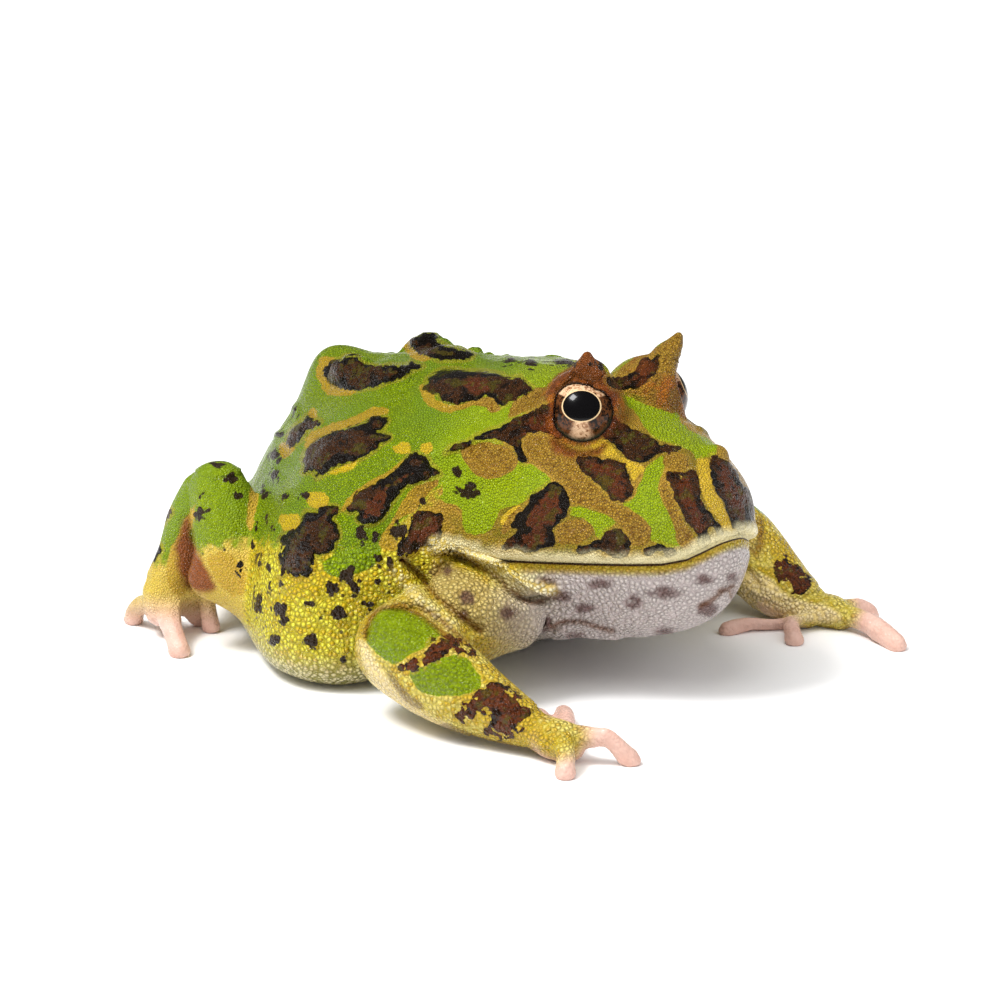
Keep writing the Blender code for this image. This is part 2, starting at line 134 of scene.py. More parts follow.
def pixels_of(points):
    """Where the camera sees places, in pixels of the picture from its upper left corner."""
    offset = points - AIM
    depth = VIEW_DISTANCE - offset @ TO_CAMERA
    across = PICTURE / 2 + FOCAL_PIXELS * (offset @ VIEW_RIGHT) / depth
    down = PICTURE / 2 - FOCAL_PIXELS * (offset @ VIEW_TOP) / depth
    return np.stack((across, down), 1)


def ray_of(x, y):
    """The direction from the camera through a pixel."""
    across, down = (x - PICTURE / 2) / FOCAL_PIXELS, (y - PICTURE / 2) / FOCAL_PIXELS
    way = -TO_CAMERA + VIEW_RIGHT * across - VIEW_TOP * down
    return way / np.linalg.norm(way)


print("the aim falls on pixel", pixels_of(AIM[None])[0])

# %% [markdown]
# The live frog has one skin, so one skin is grown over all the solids except the eyes. Copies of
# the solids are swollen a little until they touch, joined, and given one even net by a voxel
# remesh. Two rounds of smoothing take the corners of the solids away.

# %% Grow one skin over the solids
FLESH = sorted(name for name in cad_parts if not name.startswith("eye"))
SWELL = 0.24
VOXEL = 0.38


def select_only(*objects):
    bpy.ops.object.select_all(action="DESELECT")
    for each in objects:
        each.select_set(True)
    bpy.context.view_layer.objects.active = objects[0]


def places_of(obj):
    """The points of a mesh, in millimetres."""
    flat = np.empty(len(obj.data.vertices) * 3)
    obj.data.vertices.foreach_get("co", flat)
    return flat.reshape(-1, 3) / MM


def normals_of(obj):
    flat = np.empty(len(obj.data.vertices) * 3)
    obj.data.vertex_normals.foreach_get("vector", flat)
    return flat.reshape(-1, 3)


def move_to(obj, points):
    obj.data.vertices.foreach_set("co", (points * MM).ravel())
    obj.data.update()


def apply_modifier(obj, kind, **values):
    modifier = obj.modifiers.new(kind.lower(), kind)
    for name, value in values.items():
        setattr(modifier, name, value)
    select_only(obj)
    bpy.ops.object.modifier_apply(modifier=modifier.name)


copies = []
for name in FLESH:
    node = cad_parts[name]
    piece = bpy.data.objects.new("copy_" + name, node.data.copy())
    bpy.context.scene.collection.objects.link(piece)
    select_only(piece)
    bpy.ops.object.mode_set(mode="EDIT")
    bpy.ops.mesh.select_all(action="SELECT")
    bpy.ops.mesh.remove_doubles(threshold=0.00001)
    bpy.ops.object.mode_set(mode="OBJECT")
    move_to(piece, places_of(piece) + normals_of(piece) * SWELL)
    copies.append(piece)
select_only(*copies)
bpy.ops.object.join()
skin = copies[0]
skin.name = skin.data.name = "frog_skin"
skin.data.materials.clear()
apply_modifier(skin, "REMESH", mode="VOXEL", voxel_size=VOXEL * MM)

mesh = bmesh.new()
mesh.from_mesh(skin.data)
mesh.verts.ensure_lookup_table()
seen, shells = set(), []
for start in mesh.verts:
    if start.index in seen:
        continue
    shell, queue = [], [start]
    seen.add(start.index)
    while queue:
        vertex = queue.pop()
        shell.append(vertex)
        for edge in vertex.link_edges:
            other = edge.other_vert(vertex)
            if other.index not in seen:
                seen.add(other.index)
                queue.append(other)
    shells.append(shell)
shells.sort(key=len)
for shell in shells[:-1]:
    bmesh.ops.delete(mesh, geom=shell, context="VERTS")
mesh.to_mesh(skin.data)
mesh.free()
apply_modifier(skin, "SMOOTH", factor=0.5, iterations=2)
print("the skin has", len(skin.data.vertices), "points, and", len(shells) - 1, "inner shells went")

# %% [markdown]
# Some forms are too fine for the solids: the lips, the folds of skin round the mouth and the
# shoulder, and the raised crests of the back. Each is a soft push or pull of the skin's points.
# The folds follow lines that the photographer's camera sees, cast onto the skin, and every fold
# of the frog's right side gets a twin on its left side.

# %% Tools for shaping the skin
def along(table, at):
    keys, values = zip(*table)
    return np.interp(at, keys, values)


def smooth_step(value, start, end):
    share = np.clip((value - start) / (end - start), 0, 1)
    return share * share * (3 - 2 * share)


def rounded(path, closed, steps=3):
    """More points on a smooth curve through the points of a path."""
    path = np.array(path, float)
    count = len(path)
    points = []
    for index in range(count if closed else count - 1):
        if closed:
            a, b, c, d = (path[(index + shift) % count] for shift in (-1, 0, 1, 2))
        else:
            a, b, c, d = (path[min(max(index + shift, 0), count - 1)] for shift in (-1, 0, 1, 2))
        for step in range(steps):
            t = step / steps
            points.append(0.5 * (2 * b + (c - a) * t + (2 * a - 5 * b + 4 * c - d) * t * t
                                 + (3 * b - a - 3 * c + d) * t**3))
    if not closed:
        points.append(path[-1])
    return np.array(points)


def distance_to(points, path, closed=False):
    """How far points are from a path, in two or three dimensions."""
    nearest = np.full(len(points), 1e9)
    ends = np.roll(path, -1, axis=0) if closed else path[1:]
    for start, end in zip(path, ends):
        step = end - start
        long = max(float(step @ step), 1e-12)
        share = np.clip((points - start) @ step / long, 0, 1)
        gap = points - start - share[:, None] * step
        nearest = np.minimum(nearest, (gap * gap).sum(1))
    return np.sqrt(nearest)


def surface_of(obj):
    return BVHTree.FromObject(obj, bpy.context.evaluated_depsgraph_get())


def cast(tree, path):
    """The places on the skin where the camera sees the pixels of a path."""
    found = []
    for x, y in rounded(path, closed=False):
        hit = tree.ray_cast(Vector(EYE_POINT * MM), Vector(ray_of(x, y)))[0]
        if hit is not None:
            found.append(np.array(hit) / MM)
    return np.array(found)


print("tools for shaping are ready")

# %% [markdown]
# What part of the body a point of the skin belongs to is read from the nearest solid. Where a limb
# meets the body the skin is drawn smooth over the join, the round trunk is smoothed well, and the
# thin horns and digits hardly at all, so that they keep their thickness.

# %% Smooth the skin part by part
PARTS = {
    "body": ("torso", "head", "jaw", "horn_R", "horn_L"),
    "arm_R": ("upper_arm_R", "forearm_R", "hand_R"),
    "arm_L": ("upper_arm_L", "forearm_L", "hand_L"),
    "leg_R": ("thigh_R", "shank_R", "foot_R"),
    "leg_L": ("thigh_L", "shank_L", "foot_L"),
}
THIN = ("horn_R", "horn_L", "hand_R", "hand_L", "foot_R", "foot_L")
NOWHERE = 50.0
SEARCH_REACH = 6.0
LIMB_REACH = 5.0
THIN_REACH = 0.6
JOIN_FROM, JOIN_TO = 1.2, 4.5
EYE_KEPT_TO, EYE_FREE_FROM = 7.0, 14.0
BODY_TURNS, JOIN_TURNS, THIN_TURNS = 40, 110, 2
DIGIT_SLIMMING = 0.3


def near_box(points, name, reach):
    low, high = (np.array(corner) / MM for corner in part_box(name))
    return ((points > low - reach) & (points < high + reach)).all(1)


def gap_to(points, names, where, reach=SEARCH_REACH):
    """Millimetres from points to the nearest of some solids."""
    gap = np.full(len(points), NOWHERE)
    for name in names:
        tree = surface_of(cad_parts[name])
        for index in np.where(near_box(points, name, reach) & where)[0]:
            found = tree.find_nearest(Vector(points[index] * MM), reach * MM)[3]
            if found is not None:
                gap[index] = min(gap[index], found / MM)
    return gap


def part_gaps(points):
    limbs = [name for part, names in PARTS.items() if part != "body" for name in names]
    near_limb = np.any([near_box(points, name, LIMB_REACH) for name in limbs], axis=0)
    gaps = {part: gap_to(points, names, near_limb) for part, names in PARTS.items()}
    gaps["body"][~near_limb] = 0.0
    return gaps


def smooth_where(obj, weights, turns):
    group = obj.vertex_groups.new(name="smoothing")
    for step in range(1, 11):
        chosen = np.where(np.round(weights * 10) == step)[0]
        if len(chosen):
            group.add(chosen.tolist(), step / 10, "REPLACE")
    apply_modifier(obj, "SMOOTH", factor=0.5, iterations=turns, vertex_group="smoothing")
    obj.vertex_groups.clear()


points = places_of(skin)
gaps = part_gaps(points)
limb_gap = np.min([gap for part, gap in gaps.items() if part != "body"], axis=0)
join = 1 - smooth_step(np.maximum(limb_gap, gaps["body"]), JOIN_FROM, JOIN_TO)
thin = np.any([near_box(points, name, THIN_REACH) for name in THIN], axis=0)
eyes = [(np.array(low) + np.array(high)) / 2 / MM for low, high in map(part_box, ("eye_R", "eye_L"))]
from_eye = np.min([np.linalg.norm(points - eye, axis=1) for eye in eyes], axis=0)
body_share = 0.2 + 0.8 * smooth_step(from_eye, EYE_KEPT_TO, EYE_FREE_FROM)
smooth_where(skin, np.where(thin, 0.0, body_share), BODY_TURNS)
smooth_where(skin, np.where(thin, 0.0, join), JOIN_TURNS)
smooth_where(skin, np.where(thin, 0.6, 0.0), THIN_TURNS)
digit_share = np.any([near_box(points, name, THIN_REACH) for name in THIN[2:]], axis=0)
slim = np.where(digit_share, -DIGIT_SLIMMING, 0.0) * smooth_step(points[:, 2], 0.3, 1.5)
move_to(skin, places_of(skin) + normals_of(skin) * slim[:, None])
print("skin drawn over the joins at", int((join > 0.5).sum()), "points")

# %% [markdown]
# The mouth is a thin dark slit that runs the whole width of the snout. The upper lip is a soft
# roll that hangs over it, and the lower lip sits a little back. The slit's height is known from
# the solids as a table of heights along the straight head. Each form is a push of the skin's
# points along their normals, with its middle above the slit and its width, all in millimetres.

# %% Press in the mouth
MOUTH_LINE = [
    (-2, 22.3), (0, 22.3), (0.7, 21.7), (1.5, 21.0), (3.1, 19.9), (5.5, 19.4), (16, 19.5),
    (25, 19.4), (30, 20.1), (34.5, 20.8), (45, 20.5),
]
MOUTH_CORNER = 34.5
MOUTH_FORMS = {"slit": (-0.85, 0.0, 0.36), "upper lip": (0.42, 1.5, 0.9),
               "lower lip": (-0.35, -0.9, 0.7)}


def above_mouth(points):
    """How far points are above the mouth slit, and how fully the slit is there."""
    straight = turn_head(points, -1)
    back = straight[:, 1] - MIDDLE_Y
    high = straight[:, 2] - along(MOUTH_LINE, back)
    return high, 1 - smooth_step(back, MOUTH_CORNER - 1.0, MOUTH_CORNER + 2.0)


points, normals = places_of(skin), normals_of(skin)
high, there = above_mouth(points)
lips = sum(push * np.exp(-((high - middle) / width) ** 2)
           for push, middle, width in MOUTH_FORMS.values())
move_to(skin, points + normals * (lips * there)[:, None])
print("the lips moved", int((np.abs(lips * there) > 0.1).sum()), "points")

# %% [markdown]
# Each fold is a path of pixels with a height and a width in millimetres. A height below zero
# presses a crease, one above zero raises a ridge. Domes have a pixel, a radius and a height. A few
# places are then pulled to the right or up in the picture, by millimetres, to meet the frog's
# outline there. Only pulls named for both sides get a twin, since the arms aren't mirror images.

# %% Fold the skin
FOLDS = [
    ("corner ridge", 1.8, 0.9, [(437, 547), (455, 549), (472, 555), (487, 561), (500, 567),
     (510, 574), (520, 581), (535, 587), (552, 590)]),
    ("corner groove", -1.8, 0.6, [(455, 556), (470, 562), (483, 569), (497, 577), (507, 587),
     (517, 595), (527, 601), (543, 602)]),
    ("shoulder crease", -1.5, 0.55, [(402, 560), (412, 569), (421, 577), (434, 594), (446, 604),
     (459, 614), (481, 632)]),
    ("shoulder roll", 0.6, 1.1, [(398, 572), (408, 585), (420, 600), (436, 614), (452, 626)]),
    ("cheek pad", 0.6, 2.6, [(436, 566), (452, 578), (470, 592), (490, 606)]),
    ("throat fold", -0.9, 0.55, [(552, 627), (562, 622), (580, 622), (597, 627), (612, 631)]),
    ("throat roll", 0.6, 1.2, [(556, 635), (575, 632), (596, 635), (615, 636)]),
    ("elbow rim", -0.8, 0.5, [(365, 637), (367, 628), (371, 618), (378, 610), (388, 607),
     (403, 608), (418, 614), (435, 626), (448, 636)]),
    ("lid wrinkle one", -0.6, 0.4, [(566, 382), (573, 378), (583, 377), (593, 381)]),
    ("lid wrinkle two", -0.5, 0.4, [(556, 390), (564, 383), (575, 373)]),
    ("lower lid fold", -0.4, 0.5, [(556, 440), (566, 448), (580, 453), (594, 452), (606, 445)]),
    ("lower lid roll", 0.45, 0.8, [(552, 446), (566, 456), (582, 461), (598, 459), (612, 450)]),
    ("chin crease", -0.35, 0.4, [(700, 606), (712, 600), (722, 592), (733, 586)]),
    ("ear rim", 0.35, 0.9, [(461, 450), (478, 442), (493, 443), (508, 448), (518, 458),
     (515, 467), (505, 475), (493, 480), (480, 477), (468, 467), (461, 450)]),
    ("ridge behind the eye", 0.8, 1.6, [(446, 450), (466, 441), (490, 433), (512, 423),
     (534, 413), (546, 409)]),
    ("lower groove", -1.2, 0.7, [(395, 604), (415, 606), (435, 616), (450, 628), (466, 642)]),
]
DOMES = [
    ("middle of the rear crest", 352, 372, 3.6, 0.9),
    ("horn root", 588, 374, 2.3, 0.8), ("far horn root", 667, 362, 2.2, 1.0),
    ("palm", 550, 734, 3.0, 0.8), ("throat", 551, 624, 3.4, 1.5),
    ("far palm", 830, 603, 2.4, 0.6), ("belly", 345, 672, 6.0, 1.2),
    ("front of the rear crest", 388, 372, 3.6, 0.8), ("far crest", 430, 345, 3.6, 1.1),
    ("far crest front", 455, 354, 3.0, 0.7), ("shoulder crest", 455, 385, 4.2, 0.9),
    ("shoulder crest front", 500, 387, 3.6, 0.7),
    ("brow", 620, 383, 2.4, 0.4), ("nostril knob", 676, 463, 1.6, 0.5),
    ("flank wart one", 362, 437, 2.6, 0.7), ("flank wart two", 330, 455, 2.6, 0.7),
    ("flank wart three", 372, 510, 2.4, 0.6), ("flank wart four", 308, 548, 2.6, 0.6),
    ("flank wart five", 423, 480, 1.8, 0.5), ("cheek wart", 535, 520, 3.0, 0.5),
]
PALE_WARTS = [(434, 541, 5), (444, 541, 4), (427, 551, 5), (438, 560, 4), (453, 549, 3.5),
              (410, 588, 4), (416, 597, 4), (431, 613, 3.5), (398, 583, 3), (424, 604, 3)]
PALE_WART_RISE = 0.5
DOMES += [("pale wart", x, y, radius * 0.2, PALE_WART_RISE) for x, y, radius in PALE_WARTS]
PALE_RIDGES = ("corner ridge", "shoulder roll")
FOLD_REACH = 30.0
BOTH_SIDES = ("rear crest corner", "calf", "heel", "low calf", "thigh edge")
PULLS = [
    ("rear crest corner", 330, 374, 5.0, (-1.6, 2.0)), ("calf", 181, 562, 5.0, (3.4, 0.0)),
    ("low calf", 185, 578, 4.4, (4.6, -0.4)),
    ("thigh edge", 206, 579, 3.6, (-2.6, -0.8)),
    ("heel", 196, 598, 3.6, (1.3, 2.9)), ("far arm", 790, 546, 9.0, (-1.3, -4.2)),
    ("far forearm", 768, 588, 6.0, (0.0, -1.4)), ("low back one", 452, 345, 3.2, (0.0, -1.1)),
    ("low back two", 472, 348, 3.2, (0.0, -1.3)), ("low back three", 492, 350, 3.2, (0.0, -1.2)),
    ("low back four", 510, 352, 3.2, (0.0, -0.9)), ("middle finger", 610, 744, 2.4, (0.0, 1.2)),
    ("back of the hand", 580, 738, 3.0, (0.0, 1.2)), ("armpit", 524, 642, 5.0, (0.0, 1.4)),
    ("far crest peak", 431, 336, 1.8, (0.0, 1.0)),
]

tree = surface_of(skin)
points, normals = places_of(skin), normals_of(skin)
push = np.zeros(len(points))
shift = np.zeros((len(points), 3))
CREASES, PALE_FOLDS = [], []
for name, height, width, path in FOLDS:
    near = cast(tree, path)
    if len(near) < 2:
        print("nothing seen for", name)
        continue
    if height < 0:
        CREASES.append((near, rounded(path, closed=False)))
    if name in PALE_RIDGES:
        PALE_FOLDS.append((near, rounded(path, closed=False)))
    for line in (near, mirror(near)):
        close = np.where((np.abs(points - line.mean(0)) < FOLD_REACH).all(1))[0]
        gap = distance_to(points[close], line)
        push[close] += height * np.exp(-(gap / width) ** 2)
for name, x, y, radius, height in DOMES:
    top = cast(tree, [(x, y), (x + 1, y)])
    if len(top) == 0:
        print("nothing seen for", name)
        continue
    for place in (top[:1], mirror(top[:1])):
        gap = np.linalg.norm(points - place[0], axis=1)
        push += height * np.exp(-(gap / radius) ** 2)
for name, x, y, radius, (right, up) in PULLS:
    top = cast(tree, [(x, y), (x + 1, y)])
    if len(top) == 0:
        print("nothing seen for", name)
        continue
    ends = np.stack((top[0], top[0] + VIEW_RIGHT * right + VIEW_TOP * up))
    for start, end in (ends, mirror(ends))[: 2 if name in BOTH_SIDES else 1]:
        gap = np.linalg.norm(points - start, axis=1)
        shift += np.exp(-(gap / radius) ** 2)[:, None] * (end - start)
move_to(skin, points + normals * push[:, None] + shift)
print(len(FOLDS), "folds and", len(DOMES), "raised places on each side")

# %% [markdown]
# Below, every marking is an outline in the picture's pixels. A point of the skin looks up its own
# pixel and gets its distance to the outline, in millimetres, with a plus sign inside. The frog's
# hidden left side looks up its mirror place instead, and the two answers melt into each other
# over the rounded edge of what the camera sees. Distances are kept rather than colours, because a
# material can cut them sharply at any finer scale, with grain along the edge.

# %% Outlines of the markings
BROWN = {
    "rear crest": [(323, 373), (325, 367), (333, 361), (343, 361), (345, 357), (357, 357),
     (360, 361), (367, 365), (380, 367), (390, 366), (408, 365), (411, 362), (417, 366),
     (423, 366), (410, 372), (397, 379), (383, 384), (367, 388), (353, 390), (340, 387),
     (330, 382), (325, 378)],
    "far crest": [(410, 345), (412, 338), (420, 336), (425, 331), (430, 327), (434, 333),
     (438, 342), (448, 347), (460, 350), (473, 355), (463, 359), (443, 360), (430, 357),
     (417, 352)],
    "shoulder crest": [(423, 388), (428, 383), (427, 380), (438, 372), (450, 369), (465, 372),
     (483, 372), (500, 375), (510, 379), (520, 377), (525, 383), (532, 388), (532, 392),
     (520, 397), (507, 402), (497, 406), (495, 400), (493, 396), (483, 396), (472, 400),
     (458, 404), (450, 403), (442, 400), (438, 394), (430, 392)],
    "rear flank": [(307, 450), (313, 443), (322, 437), (335, 432), (350, 427), (367, 422),
     (372, 417), (382, 417), (388, 420), (383, 428), (377, 432), (383, 434), (390, 438),
     (380, 444), (375, 450), (363, 457), (350, 462), (333, 467), (323, 475), (316, 477),
     (315, 470), (303, 473), (305, 467), (303, 458)],
    "side band": [(415, 453), (407, 458), (397, 468), (388, 475), (373, 485), (357, 493),
     (352, 503), (345, 508), (350, 512), (360, 510), (357, 520), (367, 525), (380, 520),
     (388, 508), (395, 497), (403, 487), (417, 482), (432, 477), (440, 473), (430, 465),
     (427, 458), (418, 455)],
    "behind the mouth": [(413, 513), (422, 510), (433, 512), (442, 515), (442, 523), (440, 537),
     (435, 545), (423, 547), (415, 555), (407, 557), (403, 563), (397, 557), (398, 543),
     (407, 532), (410, 523)],
    "low flank": [(317, 513), (320, 507), (337, 507), (338, 512), (333, 518), (338, 530),
     (337, 540), (328, 553), (313, 553), (315, 563), (310, 573), (297, 578), (292, 575),
     (285, 570), (283, 580), (280, 577), (282, 567), (278, 557), (282, 547), (280, 540),
     (285, 532), (297, 528), (302, 520), (307, 512)],
    "rear edge": [(287, 442), (290, 433), (295, 427), (305, 420), (308, 415), (312, 420),
     (321, 421), (315, 427), (307, 430), (303, 437), (295, 443), (290, 447)],
    "brow": [(607, 378), (620, 378), (628, 376), (637, 367), (642, 358), (652, 359), (657, 355),
     (659, 360), (657, 370), (652, 375), (645, 383), (637, 388), (620, 389), (610, 385)],
    "eye to nostril": [(603, 432), (606, 423), (613, 417), (622, 423), (633, 429), (647, 435),
     (658, 443), (680, 448), (670, 453), (662, 453), (653, 457), (648, 463), (640, 463),
     (628, 459), (620, 452), (615, 445), (607, 439)],
    "under the eye": [(577, 457), (590, 456), (600, 458), (615, 460), (622, 462), (628, 472),
     (631, 483), (634, 490), (630, 497), (625, 501), (617, 502), (610, 497), (598, 483),
     (587, 475), (579, 468)],
    "snout": [(664, 471), (675, 472), (682, 478), (680, 473), (692, 470), (697, 473),
     (700, 490), (703, 503), (712, 515), (718, 523), (722, 532), (720, 536), (713, 528),
     (708, 530), (710, 540), (703, 548), (698, 543), (695, 530), (687, 522), (680, 510),
     (675, 497), (670, 483)],
    "far snout": [(710, 458), (714, 455), (723, 460), (730, 463), (737, 473), (742, 483),
     (751, 492), (755, 510), (750, 527), (742, 535), (737, 530), (730, 520), (727, 510),
     (722, 500), (715, 490), (711, 475)],
    "cheek": [(512, 523), (517, 517), (525, 508), (530, 498), (542, 490), (552, 482),
     (560, 483), (565, 493), (570, 502), (567, 515), (560, 522), (553, 528), (555, 538),
     (553, 547), (542, 548), (530, 552), (517, 550), (502, 551), (500, 547), (507, 540),
     (515, 533), (520, 528), (513, 527)],
    "behind the eye": [(446, 453), (452, 446), (465, 443), (478, 436), (490, 430), (500, 428),
     (510, 421), (522, 415), (532, 411), (545, 405), (560, 402), (562, 436), (548, 434),
     (535, 432), (524, 436),
     (521, 446), (528, 460), (522, 463), (517, 455), (512, 447), (500, 441), (490, 439),
     (478, 441), (466, 447), (452, 451)],
    "lip": [(577, 552), (578, 547), (587, 545), (595, 540), (603, 538), (608, 530), (620, 528),
     (623, 532), (627, 537), (630, 548), (623, 558), (613, 560), (610, 555), (595, 550),
     (587, 554)],
    "small lip": [(643, 552), (648, 547), (657, 542), (665, 547), (673, 548), (677, 552),
     (670, 557), (660, 552), (650, 556)],
}
TAN = {
    "rear crest": [(316, 375), (317, 365), (321, 357), (330, 356), (335, 362), (328, 370),
     (330, 382), (343, 388), (357, 391), (350, 396), (328, 395), (322, 387)],
    "far crest": [(400, 345), (403, 337), (412, 336), (412, 346), (420, 353), (432, 358),
     (425, 362), (412, 358)],
    "shoulder crest": [(420, 387), (426, 385), (432, 393), (440, 401), (455, 405), (470, 401),
     (486, 397), (497, 400), (500, 411), (488, 413), (485, 405), (472, 406), (460, 410),
     (450, 413), (438, 410), (424, 401)],
    "rear flank": [(305, 443), (310, 433), (333, 423), (358, 415), (373, 407), (388, 408),
     (390, 413), (373, 417), (350, 427), (322, 437), (308, 449)],
    "side line": [(340, 511), (346, 500), (358, 489), (373, 479), (388, 471), (402, 460),
     (404, 463), (390, 477), (374, 486), (358, 494), (352, 503), (346, 511)],
    "side band": [(438, 480), (427, 483), (413, 487), (405, 497), (398, 508), (392, 520),
     (385, 530), (380, 540), (381, 548), (388, 553), (398, 548), (393, 537), (395, 523),
     (407, 515), (415, 512), (422, 502), (430, 493), (437, 485)],
    "eye to lip": [(522, 445), (526, 437), (535, 434), (548, 436), (560, 443), (577, 452),
     (580, 470), (592, 482), (607, 497), (620, 506), (633, 512), (645, 520), (651, 530),
     (649, 541), (638, 547), (628, 540), (624, 530), (615, 520), (603, 512), (585, 506),
     (570, 503), (566, 492), (556, 480), (545, 470), (533, 463), (524, 458)],
    "cheek oval": [(555, 528), (568, 520), (583, 520), (593, 527), (592, 535), (583, 542),
     (567, 545), (555, 542)],
    "cheek wedge": [(500, 530), (508, 517), (518, 508), (528, 502), (524, 512), (515, 522),
     (506, 533)],
    "behind the eye": [(508, 418), (512, 405), (520, 397), (533, 390), (546, 388), (545, 400),
     (535, 408), (520, 414)],
    "brow": [(618, 372), (633, 358), (643, 350), (660, 345), (676, 328), (688, 328), (688, 355),
     (688, 373), (688, 393), (678, 400), (677, 410), (670, 413), (653, 403), (637, 395),
     (620, 390)],
    "upper lid": [(543, 393), (558, 374), (572, 366), (579, 356), (588, 342), (597, 352),
     (608, 378), (618, 392), (612, 402), (600, 392), (580, 384), (562, 390), (550, 402)],
    "snout side": [(663, 477), (670, 490), (677, 507), (685, 523), (693, 535), (697, 547),
     (680, 547), (672, 520), (663, 498)],
    "nostril": [(664, 456), (674, 451), (686, 456), (688, 468), (678, 475), (666, 470)],
    "ear": [(461, 450), (478, 442), (493, 443), (508, 448), (518, 458), (515, 467), (505, 475),
     (493, 480), (480, 477), (468, 467)],
    "far snout bit": [(737, 475), (746, 476), (750, 488), (742, 489)],
    "rear spot": [(309, 409), (317, 409), (317, 417), (309, 417)],
    "rear square": [(280, 442), (293, 446), (292, 458), (280, 456)],
}
GOLD = {
    "under the eye": [(590, 443), (603, 440), (613, 447), (623, 457), (637, 462), (647, 465),
     (637, 480), (635, 490), (628, 470), (618, 460), (600, 455)],
    "snout stripe": [(696, 460), (708, 458), (710, 473), (713, 487), (720, 497), (727, 496),
     (722, 502), (727, 513), (730, 522), (732, 532), (722, 528), (715, 517), (707, 507),
     (702, 495), (699, 480)],
    "flank one": [(308, 493), (327, 494), (326, 508), (310, 507)],
    "flank two": [(280, 516), (299, 515), (298, 529), (282, 530)],
    "flank three": [(394, 443), (409, 443), (410, 452), (395, 453)],
    "flank four": [(421, 444), (431, 443), (432, 452), (422, 452)],
    "rear flank": [(330, 472), (350, 462), (360, 460), (357, 467), (345, 472), (333, 475)],
    "low flank hole": [(292, 541), (306, 541), (307, 552), (293, 553)],
    "cheek": [(500, 520), (510, 508), (522, 505), (518, 514), (508, 524), (500, 532)],
}
LEAF = {
    "flank": [(322, 566), (330, 556), (345, 550), (360, 546), (376, 543), (382, 551),
     (376, 563), (362, 571), (345, 577), (330, 576)],
    "cheek": [(523, 462), (533, 465), (543, 472), (553, 480), (545, 487), (533, 495),
     (523, 503), (510, 507), (500, 510), (497, 520), (490, 530), (480, 535), (467, 533),
     (462, 523), (460, 507), (440, 500), (442, 493), (443, 480), (447, 450), (458, 444)],
    "low cheek": [(570, 503), (583, 507), (600, 512), (610, 517), (615, 523), (608, 532),
     (602, 538), (595, 542), (593, 527), (583, 518), (570, 518)],
    "snout": [(620, 392), (630, 397), (647, 405), (663, 410), (677, 413), (683, 425),
     (697, 433), (710, 440), (717, 447), (713, 457), (703, 458), (697, 460), (690, 450),
     (680, 447), (667, 443), (653, 437), (642, 423), (633, 410), (623, 402)],
    "nostril to lip": [(658, 457), (663, 455), (665, 468), (660, 480), (658, 490), (662, 500),
     (667, 510), (673, 523), (680, 537), (682, 545), (675, 548), (665, 547), (653, 543),
     (650, 537), (648, 527), (642, 517), (630, 510), (623, 503), (633, 497), (638, 487),
     (642, 477), (648, 465)],
}
RUST = {
    "shoulder crest": [(463, 386), (470, 379), (484, 379), (491, 386), (484, 393), (470, 393)],
    "behind the eye": [(522, 436), (528, 420), (545, 414), (548, 431), (535, 432)],
    "side band": [(362, 512), (372, 498), (388, 486), (404, 477), (424, 472), (415, 478),
     (398, 490), (386, 505), (376, 518), (365, 520)],
    "under the eye": [(585, 462), (600, 463), (616, 468), (626, 484), (624, 496), (616, 496),
     (604, 482), (592, 472)],
    "cheek": [(524, 520), (536, 503), (550, 491), (560, 498), (562, 512), (550, 524),
     (530, 530)],
    "low cheek": [(510, 547), (524, 532), (545, 533), (550, 542), (530, 548)],
    "snout": [(676, 480), (690, 478), (694, 500), (706, 520), (700, 535), (690, 515),
     (681, 500)],
    "far snout": [(716, 464), (726, 466), (736, 482), (746, 500), (742, 520), (732, 505),
     (722, 485)],
    "brow": [(640, 370), (652, 363), (654, 368), (645, 379), (630, 384)],
    "behind the mouth": [(408, 545), (416, 525), (428, 517), (437, 520), (434, 535),
     (420, 542)],
    "eye corner": [(553, 438), (560, 440), (575, 447), (574, 452), (560, 448)],
}
SPOTS = [
    (353, 368, 522, 545), (371, 379, 531, 539), (373, 383, 555, 563), (387, 395, 560, 573),
    (372, 379, 575, 587), (338, 355, 568, 582), (350, 360, 582, 598), (325, 337, 583, 597),
    (312, 318, 588, 598), (303, 313, 600, 608), (315, 325, 605, 617), (330, 348, 605, 622),
    (273, 288, 600, 615), (280, 288, 613, 628), (253, 263, 590, 615), (268, 273, 585, 593),
    (266, 271, 562, 570), (255, 263, 553, 567), (280, 285, 570, 582), (252, 257, 520, 530),
    (265, 268, 513, 522), (270, 275, 525, 533), (250, 255, 537, 550), (282, 287, 492, 500),
    (300, 307, 493, 499), (302, 318, 633, 650), (268, 280, 635, 648), (340, 347, 652, 663),
    (362, 372, 602, 608), (270, 280, 470, 482), (261, 267, 488, 500), (393, 408, 522, 538),
    (417, 427, 497, 508), (293, 298, 405, 413), (274, 283, 432, 437), (270, 281, 448, 463),
    (550, 583, 358, 366), (592, 603, 360, 372), (503, 520, 357, 364), (523, 537, 358, 368),
    (453, 465, 466, 478), (455, 480, 484, 500),
]
CHIN_SPOTS = [
    (625, 642, 594, 610), (648, 682, 586, 598), (694, 716, 575, 585), (726, 738, 572, 582),
    (698, 718, 602, 617), (542, 572, 590, 602), (576, 594, 603, 613), (656, 674, 626, 636),
    (538, 556, 576, 586), (590, 612, 578, 590), (540, 552, 616, 632), (566, 584, 632, 640),
    (595, 605, 582, 588), (505, 520, 590, 602), (480, 496, 595, 612), (500, 515, 608, 622),
]
